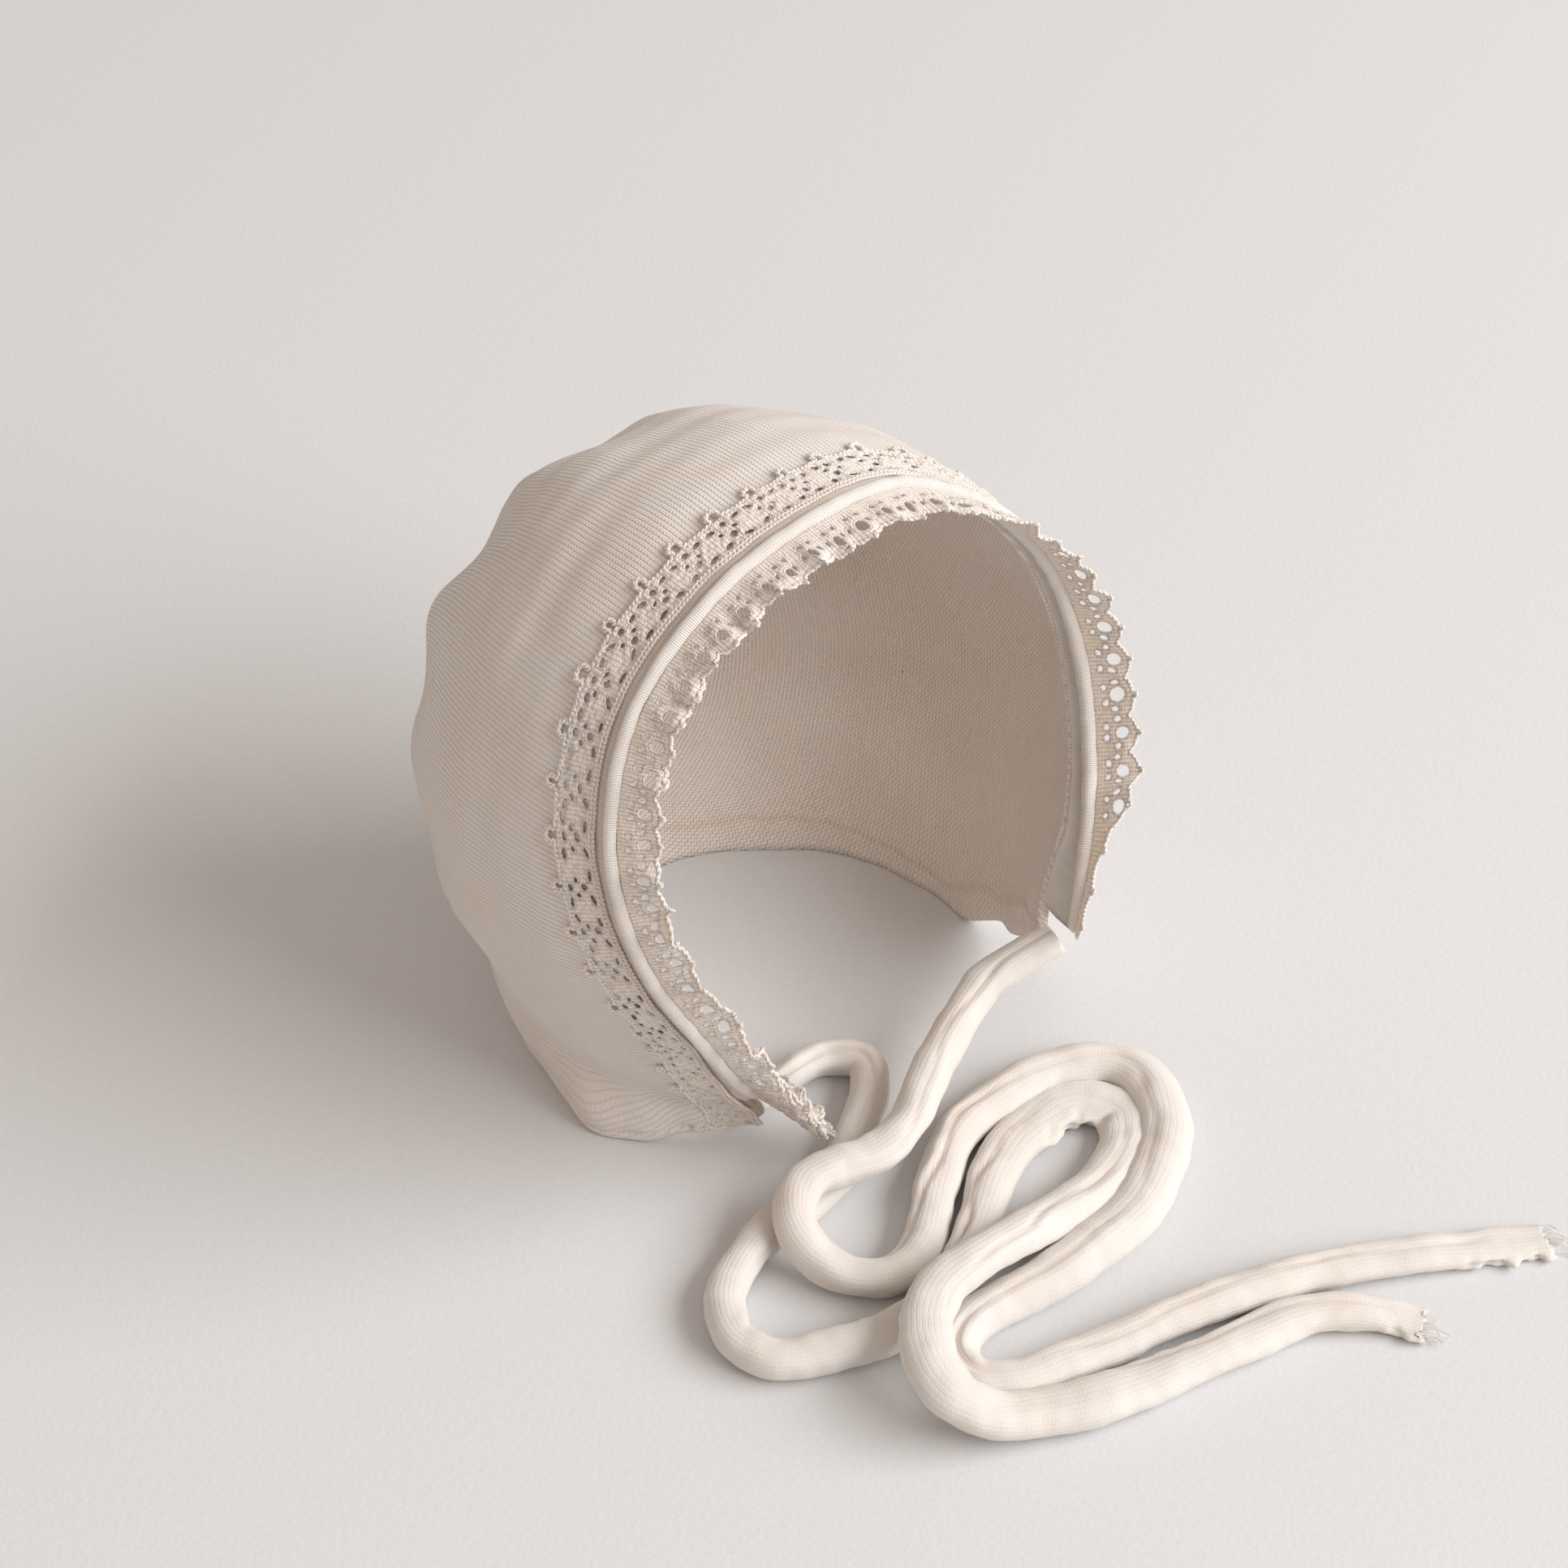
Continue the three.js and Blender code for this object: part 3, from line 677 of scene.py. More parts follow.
def cloth_material(name, cream, knit, knit_height, fibre_height=FIBRE_HEIGHT, tint=1.0, through=0.12):
    """A matt cotton. knit is the group for its stitches, the heights are in metres, and tint says how much
    painted shade, in tan, the grooves between stitches take."""
    material = bpy.data.materials.new(name)
    material.use_nodes = True
    tree = material.node_tree
    shader = tree.nodes["Principled BSDF"]
    # Painted shade: each point's shade in creases, and the shade in the grooves between stitches, go to the
    # cotton group, which darkens the colour towards tan
    painted_shade = add_node(tree, "ShaderNodeAttribute", attribute_name="painted_shade").outputs["Fac"]
    crowded = add_node(tree, "ShaderNodeAttribute", attribute_name="crowded").outputs["Fac"]
    place = add_node(tree, "ShaderNodeUVMap", uv_map="knit").outputs["UV"]
    stitches = add_node(tree, "ShaderNodeGroup", node_tree=knit)
    fill(tree, stitches, {"Knit": place})
    shown = calculate(tree, "SUBTRACT", 1.0, crowded)
    groove = calculate(tree, "MULTIPLY", calculate(tree, "MULTIPLY", stitches.outputs["Groove"], shown), tint)
    height = calculate(tree, "MULTIPLY", stitches.outputs["Height"], shown)
    cotton = add_node(tree, "ShaderNodeGroup", node_tree=COTTON)
    fill(tree, cotton, {"Cream": (*cream, 1), "Tan": (*TAN, 1), "Painted shade": painted_shade, "Groove": groove})
    fibres = add_node(tree, "ShaderNodeBump", {"Height": cotton.outputs["Fibres"], "Distance": fibre_height})
    surface = {"Height": height, "Distance": knit_height, "Normal": fibres.outputs["Normal"]}
    fill(tree, shader, {
        "Base Color": cotton.outputs["Color"],
        "Roughness": cotton.outputs["Roughness"],
        "Normal": add_node(tree, "ShaderNodeBump", surface).outputs["Normal"],
        "Specular IOR Level": 0.2,
        "Sheen Weight": 0.25,
        "Sheen Roughness": 0.5,
        "Subsurface Weight": through,
        "Subsurface Radius": (1.0, 0.72, 0.5),
        "Subsurface Scale": 0.0018,
    })
    return material


jersey_outside = cloth_material("jersey_right_side", (0.80, 0.75, 0.71), KNIT, 0.00023)
jersey_inside = cloth_material("jersey_wrong_side", (0.85, 0.785, 0.725), PURL, 0.00023)
piping_jersey = cloth_material("piping_jersey", (0.93, 0.89, 0.85), KNIT, 0.0002, 0.00005, tint=0.5)
lace_cotton = cloth_material("lace_cotton", (0.95, 0.86, 0.79), KNIT, 0.00022, tint=0.55, through=0.25)
tie_jersey = cloth_material("tie_jersey", (0.765, 0.73, 0.695), KNIT, 0.00006, 0.0001, tint=0.25)


# The ties

TIE_RING_STEP = 0.6
TIE_SIDES = 48
TIE_WALES = 26
COURSE = 0.8
TIE_PATH_RINGS = 5
STRAYS = 9
STRAY_RADIUS = 0.11
THREAD_SIDES = 5


def stray_threads(place, heading, aside, seed):
    """Loose threads that stand out of a cut end, laid on the floor or just over it."""
    draw = np.random.default_rng(seed)
    half_end, up, down = 3.2, 0.6, 0.8
    shortest, longest, root = 2.0, 5.5, 1.5
    lowest = 0.2
    threads = Pieces()
    for _ in range(STRAYS):
        start = place + aside * draw.uniform(-half_end, half_end) + UP * draw.uniform(-down, up)
        reach = draw.uniform(shortest, longest)
        sway = draw.normal(0, 0.45)
        middle = start + heading * reach * 0.5 + aside * draw.normal(0, 0.5)
        end = start + heading * reach + aside * reach * sway
        line = smooth_curve([start - heading * root, middle, end])[::8]
        line[:, 2] = np.maximum(line[:, 2], lowest)
        threads.add(*tube(line, STRAY_RADIUS, THREAD_SIDES))
    return threads.joined()


def roll_surface(line, share, length, left, roll, seed):
    """The outside of a rolled strip round its line, ring by ring, and how much painted shade each point takes
    in the roll's groove and in the crumples of its bends."""
    heading = headings(line)
    above = np.cross(heading, left)
    run = share * length
    wide, tall, deep = (between(roll, "at", name, share)[:, None] for name in ("wide", "tall", "deep"))
    turn = np.linspace(0, FULL_TURN, TIE_SIDES, endpoint=False)[None, :]
    x, y = -wide * np.cos(turn), tall * np.sin(turn)
    place = line[:, None] + left[:, None] * x[..., None] + above[:, None] * y[..., None]
    outward = unit(place - line[:, None])

    # The cloth's edge lies in a groove that comes and goes
    run_place = np.repeat(run[:, None], 3, axis=1)
    groove = np.radians(between(roll, "at", "groove", share)) + 0.16 * lumps(run_place, 34, seed)
    aside = (turn - groove[:, None] + math.pi) % FULL_TURN - math.pi
    deep = deep * np.clip(0.75 + 0.4 * lumps(run_place, 26, seed + 4), 0.1, 1.3)[:, None]
    groove_width, lip_from_groove, lip_width = 0.15, 0.42, 0.26
    in_groove = bell(aside, groove_width)
    lip = 0.5 * deep * bell(aside - lip_from_groove, lip_width)

    # Soft ridges run lengthwise, and the inner side of each bend is crumpled
    wander = lumps(run_place, 55, seed + 5)[:, None]
    ridges = 0.1 * np.sin(2 * turn + 1.6 * wander) + 0.07 * np.sin(4 * turn - 2.2 * wander)
    bend_left = dot(np.gradient(heading, axis=0) / (length / len(line)), left)[:, None]
    tight_bend = 14
    inner_side = np.clip(-np.cos(turn) * bend_left * tight_bend, 0, 1)
    crumples = lumps(place, 5.5, seed + 6)
    out = lip - deep * in_groove + ridges + 0.2 * inner_side * crumples
    out = out + 0.22 * lumps(place, 12, seed + 1) + 0.07 * lumps(place, 4.5, seed + 2)
    pressed_flat = np.clip((wide / tall - 1.75) / 0.6, 0, 1)
    frayed_edge = bell(np.sin(turn / 2), 0.3)
    out = out + pressed_flat * frayed_edge * 0.9 * lumps(place, 3.4, seed + 8)
    place = place + outward * out[..., None]
    ragged = 0.8 * lumps(place[-1] * 4, 5, seed + 3)
    place[-1] += heading[-1] * ragged[:, None]
    lowest = 0.06
    place[..., 2] = np.maximum(place[..., 2], lowest)
    # Painted shade in tan: in the groove where the cloth's edge lies, and in the crumples on the inner side
    # of tight bends
    crease_shade = in_groove * np.clip(deep, 0, 1) * 0.5 + inner_side * np.clip(-crumples, 0, 1) * 0.1
    return place, np.clip(crease_shade, 0, 0.6)


def rolled_tie(name, route, roll, seed):
    """A strip of jersey rolled up on itself along its route. Its cut end is flat and ragged."""
    line = smooth_curve(route)
    length = distances(line)[-1]
    rings = int(length / TIE_RING_STEP)
    share = np.linspace(0, 1, rings)
    line = at_distances(line, share * length)
    line[:, 2] *= between(roll, "at", "tall", share) / TIE_RADIUS
    heading = headings(line)
    left = unit(np.cross(UP, heading))
    place, painted_shade = roll_surface(line, share, length, left, roll, seed)
    # inset draws the cut end in; the other two are the painted shade on the points that close the tie's two
    # ends
    inset, start_shade, end_shade = 1.6, 0.5, 0.8
    tie = Pieces()
    ends = line[0], line[-1] - heading[-1] * inset
    tie.add(*closed_run(place, *ends), painted_shade=np.append(painted_shade, [start_shade, end_shade]))
    strays = stray_threads(line[-1], heading[-1], left[-1], seed + 7)
    tie.add(*strays[:3])
    wales = np.broadcast_to(np.arange(TIE_SIDES) / TIE_SIDES * TIE_WALES, painted_shade.shape)
    courses = np.broadcast_to((share * length / COURSE)[:, None], painted_shade.shape)
    knit = np.stack([wales, courses], axis=-1).reshape(-1, 2)
    knit = np.vstack([knit, [[0, 0], [0, length / COURSE]], np.zeros((len(strays[0]), 2))])
    piece = cloth_object(name, tie.joined(), tie_jersey, knit, TIE_WALES)
    path = np.vstack([line[:-1:TIE_PATH_RINGS], line[-1:]])
    return piece, (path - [0, CAP_FORWARD, 0]) * MM


def lay_tie(name, node, route, roll, seed):
    piece, path = rolled_tie(name, route, roll, seed)
    stand_for(piece, node)


# The jersey cap

BODY_COLUMNS = 420
OUTER_ROWS = 150
EDGE_ROWS = 14
INNER_STEP = 3
CAP_WALES = 386
HEM_END = 224.5
CAP_POLE = unit(np.array([-0.1, 0.8, 0.59]))
CASING = 9.0
GATHER_LENGTH = 8.5
SEAM_ALLOWANCE = 7.2


def cap_edge():
    """The cap's edge in even steps, from cheek to cheek along the rim and then round the hem: places, and how
    much each belongs to the hem."""
    fine = 900
    rim = behind_rim(np.linspace(0, 1, fine), PIPING_RADIUS + PIPING_SEAM, 0.0)
    azimuth = np.linspace(HEM[0]["azimuth"], HEM_END, fine)
    height = between(HEM, "azimuth", "height", azimuth)
    radius = skirt_radius(azimuth, height)
    x, y = radius * np.cos(np.radians(azimuth)), radius * np.sin(np.radians(azimuth))
    loop = np.vstack([rim, np.stack([x, y, height], axis=-1), rim[:1]])
    wanted = np.arange(BODY_COLUMNS) / BODY_COLUMNS * distances(loop)[-1]
    edge = at_distances(loop, wanted)
    on_hem = (wanted > distances(rim)[-1]).astype(float)
    return edge, evened(edge, 3), evened(on_hem, 11)


def surface_normals(grid):
    """Outward directions of a grid of places whose columns close on themselves."""
    down = np.gradient(grid, axis=0)
    across = np.roll(grid, -1, axis=1) - np.roll(grid, 1, axis=1)
    normal = unit(np.cross(across, down))
    outward = np.sign(dot(normal, unit(grid - CAP_CENTRE)).sum())
    return normal * outward


def grain(direction):
    """Each direction's place in the knit. The wales run straight back from the face and draw in to the
    gathering point."""
    turn, reach = turn_and_reach(direction)
    straight = np.degrees(np.arctan2(direction[..., 0], direction[..., 2]))
    aside = (straight - turn + 180) % 360 - 180
    drawn_in, straight_from = 22, 75
    wales = (turn + aside * smoothstep(reach, drawn_in, straight_from)) / 360 * CAP_WALES
    return np.stack([wales, (180 - reach) * ARC_MM / COURSE], axis=-1)


def soft_relief(direction, place):
    """The fine folds of the cloth over the cap's shape: pleats at the gathering point, low slack folds round
    the face and broad waves. Gives the height, and how much painted shade each point takes between the
    pleats."""
    turn, reach = turn_and_reach(direction)
    around = np.radians(turn)
    pleats, folds = 30, 12
    wander = 0.5 * lumps(place, 26, 21)
    fine = np.cos(around * pleats + 2.4 * wander)
    broad = np.cos(around * pleats / 2 + 1.7 * wander)
    relief = 0.75 * fine * bell(reach - 12, 8) + 0.9 * broad * bell(reach - 27, 13)
    relief -= 0.55 * np.cos(around * folds) * bell(reach - FOLD_PEAK, FOLD_REACH)
    # Painted shade between the pleats near the gathering point
    shaded_creases = np.clip(-relief, 0, 1) * bell(reach - 14, 16)
    from_opening = (180 - reach) * ARC_MM
    slow_round = 5.6
    slack = np.stack([from_opening, slow_round * np.cos(around), slow_round * np.sin(around)], axis=-1)
    relief += 0.17 * lumps(slack, 8.5, 22) * smoothstep(reach, 35, 65)
    relief += 0.26 * lumps(place, 24, 24) + 0.05 * lumps(place, 7, 25)
    return relief, shaded_creases


def rays_to_edge(edge_way, share):
    """Directions from the cap's pole to its edge. The rays bend near the edge, so that they cross it even
    where it runs almost straight away from the pole."""
    first = unit(np.cross(CAP_POLE, UP))
    second = np.cross(CAP_POLE, first)
    turn = np.unwrap(np.arctan2(edge_way @ second, edge_way @ first))
    reach = np.arccos(np.clip(edge_way @ CAP_POLE, -1, 1))
    even = np.sign(turn[-1] - turn[0]) * np.linspace(0, FULL_TURN, len(turn), endpoint=False)
    lead, turn_width, reach_width = 6, 91, 31
    eased = even + evened(turn - even, turn_width) + lead * evened(np.gradient(reach), reach_width)
    share = share[:, None]
    bent = eased + (turn - eased) * share**4
    ring = np.cos(bent)[..., None] * first + np.sin(bent)[..., None] * second
    return np.sin(share * reach)[..., None] * ring + np.cos(share * reach)[..., None] * CAP_POLE


def edge_relief(edge, to_go, hemmed):
    """The neck hem's casing, turned up and slightly gathered."""
    around = np.cumsum(np.linalg.norm(np.roll(edge, -1, axis=0) - edge, axis=1))
    strength = 0.7 + 0.5 * lumps(edge, 40, 32)
    gathered = np.sin(FULL_TURN * around / GATHER_LENGTH + 2.2 * lumps(edge, 26, 31)) * strength
    swell = 0.3 * bell(to_go - CASING * 0.45, 3.4) - 0.28 * bell(to_go - CASING, 0.9)
    return hemmed * (0.18 * gathered * bell(to_go - CASING, 7.0) + swell)


def on_or_over_floor(places):
    places[..., 2] = np.maximum(places[..., 2], 0.0)
    return places


def jersey_cap():
    edge, soft_edge, hemmed = cap_edge()
    share = np.linspace(0, 1, OUTER_ROWS + 1)[1:]
    direction = rays_to_edge(unit(soft_edge - CAP_CENTRE), share)
    plain = on_cap(direction)
    plain[-1] = soft_edge
    steps = np.linalg.norm(np.diff(plain, axis=0), axis=-1)
    to_go = np.vstack([np.cumsum(steps[::-1], axis=0)[::-1], np.zeros((1, BODY_COLUMNS))])

    # The face edge is held flat by its seam
    relief, shaded_creases = soft_relief(direction, plain)
    relief += edge_relief(edge, to_go, hemmed)
    relief *= 1 - 0.85 * bell(to_go, 6.0) * (1 - hemmed)
    outer = on_or_over_floor(plain + surface_normals(plain) * relief[..., None])

    # Inside, the seam allowance of the face edge and the turned-up hem lie on the wall
    last_rows = np.arange(OUTER_ROWS - EDGE_ROWS, OUTER_ROWS)
    rows = np.concatenate([np.arange(0, OUTER_ROWS - EDGE_ROWS, INNER_STEP), last_rows])
    into = surface_normals(outer)
    into[-1] = np.where(hemmed[:, None] > 0.5, unit(into[-1] * [1, 1, 0]), into[-1])
    within = -to_go - 0.25 * lumps(plain, 12, 33)
    allowance = 0.5 * smoothstep(within, -0.2 - SEAM_ALLOWANCE, 0.6 - SEAM_ALLOWANCE)
    inner_all = on_or_over_floor(outer - into * (WALL + allowance)[..., None])
    overhang = 0.45
    lip = on_or_over_floor((outer[-1] + inner_all[-1]) / 2 + unit(outer[-1] - outer[-2]) * overhang)

    grid = np.concatenate([outer, lip[None], inner_all[rows][::-1]])
    points, quads, triangles = closed_run(grid, on_cap(CAP_POLE[None]), on_cap(CAP_POLE[None], -WALL))
    # Painted shade in tan: between the pleats, in the fold of the hem's casing, on the jersey under the lace,
    # and inside in the fold at the edge of the seam allowance
    hem_fold_shade = 0.3 * hemmed * bell(to_go - CASING, 0.8)
    shade_under_lace = 0.4 * (1 - hemmed) * (1 - smoothstep(to_go, 6.5, 8.5))
    outside_shade = np.clip(0.5 * shaded_creases + hem_fold_shade + shade_under_lace, 0, 0.7)
    seam_fold_shade = 0.4 * bell(to_go[rows][::-1] - SEAM_ALLOWANCE, 0.8)
    shade_amount = np.concatenate([outside_shade.ravel(), np.zeros(BODY_COLUMNS), seam_fold_shade.ravel(), [0, 0]])
    way = unit(points - CAP_CENTRE)
    crowded = 1 - smoothstep(turn_and_reach(way)[1], 4, 19)
    pieces = points, quads, triangles, shade_amount
    cap = cloth_object("gathered_jersey_cap", pieces, jersey_outside, grain(way), CAP_WALES, crowded)
    cap.data.materials.append(jersey_inside)
    slots = np.zeros(len(cap.data.polygons), np.int32)
    slots[: len(quads)] = np.repeat(np.arange(len(grid) - 1), BODY_COLUMNS) >= OUTER_ROWS
    slots[len(quads) + BODY_COLUMNS :] = 1
    cap.data.polygons.foreach_set("material_index", slots)
    return cap


# The piping: a folded strip of jersey, round at the edge, with a flat part that runs back under the lace

PIPING_FROM = 0.045
PIPING_TO = 0.985
PIPING_RINGS = 640
PIPING_RIB = 0.42
ROLL_POINTS = 20
ROLL_RADIUS = 1.5
ROLL_FROM, ROLL_TO = -62, -305
FLANGE = table(
    "across top under",
    (1.55, 0.95, -1.25),
    (2.1, 0.8, -1.4),
    (2.8, 0.65, -1.4),
    (3.5, 0.52, -1.0),
    (4.1, 0.4, 0.05),
)


def rim_piping():
    share = np.linspace(PIPING_FROM, PIPING_TO, PIPING_RINGS)
    place, _, out, back, _ = rim_frames(share)
    turn = np.radians(np.linspace(ROLL_FROM, ROLL_TO, ROLL_POINTS))[None, :, None]
    place, out, back = place[:, None], out[:, None], back[:, None]
    round_part = place + (back * np.cos(turn) + out * np.sin(turn)) * ROLL_RADIUS
    tops = [behind_rim(share, row["across"], row["top"]) for row in FLANGE]
    unders = [behind_rim(share, row["across"], row["under"]) for row in FLANGE[::-1]]
    section = np.concatenate([round_part, np.stack(tops + unders, axis=1)], axis=1)
    swelling = 0.07 * lumps(section, 4, 41) + 0.07 * lumps(section, 11, 42)
    rounding = 0.008
    from_end = np.minimum(share - PIPING_FROM, PIPING_TO - share) / rounding
    taper = np.sqrt(np.clip(1 - (1 - np.clip(from_end, 0, 1)) ** 2, 0.02, 1))[:, None, None]
    section = place + (section - place) * taper
    section = section + unit(section - place) * swelling[..., None] * taper
    points, quads, triangles = closed_run(section, section[0].mean(0), section[-1].mean(0))
    sides = section.shape[1]
    ribs = (share - PIPING_FROM) * RIM_LENGTH / PIPING_RIB
    wales = np.broadcast_to(ribs[:, None], (PIPING_RINGS, sides))
    courses = np.broadcast_to(np.arange(sides) * 0.6, (PIPING_RINGS, sides))
    knit = np.vstack([np.stack([wales, courses], axis=-1).reshape(-1, 2), [[0, 0], [ribs[-1], 0]]])
    # Painted shade: in the seam behind the round part, on the flat part under the lace, and at the two ends
    shade_at_roll, shade_under_lace, shade_at_ends = 0.45, 0.25, 0.1
    seam_shade = np.zeros((PIPING_RINGS, sides))
    seam_shade[:, ROLL_POINTS - 1 : ROLL_POINTS + 1] = shade_at_roll
    seam_shade[:, ROLL_POINTS + 1 : ROLL_POINTS + len(FLANGE)] = shade_under_lace
    shade_amount = np.append(seam_shade, [shade_at_ends, shade_at_ends])
    return cloth_object("face_edge_piping", (points, quads, triangles, shade_amount), piping_jersey, knit)


# Lace. Each band is worked flat, as distance along it, distance across it and height, then laid in place.
# along: millimetres from the middle of a scallop. across: from the straight edge. long and wide: half sizes
# of a hole. lean: degrees that it leans.
OUTER_HOLES = table(
    "along across long wide lean",
    (-2.85, 6.9, 1.0, 0.66, -14),
    (2.85, 6.9, 1.0, 0.66, 14),
    (0.0, 6.75, 0.8, 0.68, 0),
    (-1.6, 5.2, 0.62, 0.5, 28),
    (1.45, 5.1, 0.62, 0.5, -22),
    (0.0, 3.75, 0.85, 0.74, 10),
    (-2.2, 2.2, 1.05, 0.6, 18),
    (2.15, 2.1, 1.0, 0.6, -12),
)
FRONT_HOLES = table(
    "along across long wide lean",
    (0.0, 5.5, 1.25, 1.4, 0),
    (-2.6, 4.7, 0.55, 0.75, 20),
    (2.5, 4.6, 0.55, 0.75, -20),
    (-1.4, 2.6, 0.65, 0.55, 25),
    (1.5, 2.5, 0.65, 0.55, -25),
)
OUTER_BAND = {
    "holes": OUTER_HOLES, "repeat": 8.4, "edge": 8.15, "peak": 0.3, "picot": 2.4,
    "strand": 0.34, "twist": 0.23, "thick": 0.2, "knot": 0.26, "pitch": 1.02,
    "ends": table("share narrow_to full_from", (0.75, 0, 2), (0.7, 0, 3)),
}
FRONT_BAND = {
    "holes": FRONT_HOLES, "repeat": 7.2, "edge": 6.9, "peak": 1.5, "picot": 0.8,
    "strand": 0.27, "twist": 0.16, "thick": 0.18, "knot": 0.16, "pitch": 0.95,
    "ends": table("share narrow_to full_from", (0.85, 0, 3), (0.25, 15, 29)),
}
# The holes of both bands are pulled nearly shut by the chin. at: millimetres from the right cheek's end.
HOLES_OPEN = table(
    "at size",
    (0, 0.6),
    (20, 0.7),
    (50, 1.0),
)
GROUND_CELL = 0.33
LACE_STITCH = (0.8, 0.6)
CORD_PITCH = 1.9
# A little painted shade on the threads of the cords and of the rings round the holes
CORD_SHADE = 0.05
BACK_CORDS = table(
    "across phase",
    (0.15, 0.0),
    (0.85, 1.3),
)


def rotated(x, y, angle):
    return x * np.cos(angle) - y * np.sin(angle), x * np.sin(angle) + y * np.cos(angle)


def twisted(line, helix, radius, step, phase=0.0):
    """The two strands of a cord along a line."""
    wanted = np.arange(0, distances(line)[-1], step)
    middle = at_distances(line, wanted)
    side = unit(np.cross(headings(middle), UP))
    for strand in (0, math.pi):
        turn = FULL_TURN * wanted / CORD_PITCH + strand + phase
        offset = side * np.cos(turn)[:, None] + UP * np.sin(turn)[:, None]
        yield tube(middle + offset * helix, radius, THREAD_SIDES)


def knots(along, across, pitch, draw):
    """How high the knots of close crochet stand, 0 to 1: beads of thread in uneven rows."""
    half_long, half_wide = 0.72, 0.46
    column, row = np.floor(along / pitch).astype(int), np.floor(across / pitch).astype(int)
    shape = (column.max() + 3, row.max() + 3)
    off_along, off_across = draw.uniform(0.2, 0.8, (2, *shape))
    lean = draw.uniform(0, math.pi, shape)
    size = draw.uniform(0.75, 1.1, shape)
    height = np.zeros(along.shape)
    for i in (-1, 0, 1):
        for j in (-1, 0, 1):
            knot = (column + i + 1, row + j + 1)
            dx = along / pitch - column - i - off_along[knot]
            dy = across / pitch - row - j - off_across[knot]
            x, y = rotated(dx, dy, -lean[knot])
            apart = (x / half_long) ** 2 + (y / half_wide) ** 2
            height = np.maximum(height, np.sqrt(np.clip(1 - apart, 0, 1)) * size[knot])
    return height


def outer_edge(along, band, length):
    """How far across the ground reaches at a distance along the band: soft scallops, and rounded ends."""
    part = np.abs((along / band["repeat"]) % 1 - 0.5) * 2
    flatness = 2.2
    scalloped = band["edge"] + band["peak"] * (1 - part**flatness)
    for from_end, end in zip((along, length - along), band["ends"]):
        grown = smoothstep(from_end, end["narrow_to"], end["full_from"])
        scalloped = scalloped * (end["share"] + (1 - end["share"]) * grown)
    return scalloped


def place_holes(length, band, draw):
    """Every hole of a band, each a little off its place, size and lean."""
    off_along, off_across, off_lean = 0.16, 0.13, 9
    smallest, largest = 0.85, 1.15
    holes = []
    for repeat in range(round(length / band["repeat"])):
        size = between(HOLES_OPEN, "at", "size", repeat * band["repeat"])
        for hole in band["holes"]:
            holes.append({
                "along": (repeat + 0.5) * band["repeat"] + hole["along"] + draw.normal(0, off_along),
                "across": hole["across"] + draw.normal(0, off_across),
                "long": hole["long"] * size * draw.uniform(smallest, largest),
                "wide": hole["wide"] * size * draw.uniform(smallest, largest),
                "lean": math.radians(hole["lean"] + draw.normal(0, off_lean)),
            })
    rim = 0.5
    return [
        hole for hole in holes
        if hole["across"] + hole["wide"] + rim < outer_edge(hole["along"], band, length)
    ]


def hole_ring(hole, band, draw):
    """The thread worked round a hole."""
    steps = 14
    outside, lift, thicker, uneven = 0.16, 0.04, 0.1, 0.035
    turn = np.linspace(0, FULL_TURN, steps, endpoint=False)
    x, y = (hole["long"] + outside) * np.cos(turn), (hole["wide"] + outside) * np.sin(turn)
    along, across = rotated(x, y, hole["lean"])
    line = np.stack([hole["along"] + along, hole["across"] + across, np.full(steps, lift)], axis=-1)
    return tube(line + draw.normal(0, uneven, line.shape), band["thick"] + thicker, THREAD_SIDES, closed=True)


def from_hole(hole, along, across):
    """How far places are from a hole's middle, 1 at its rim."""
    x, y = rotated(along - hole["along"], across - hole["across"], -hole["lean"])
    return np.sqrt((x / hole["long"]) ** 2 + (y / hole["wide"]) ** 2)


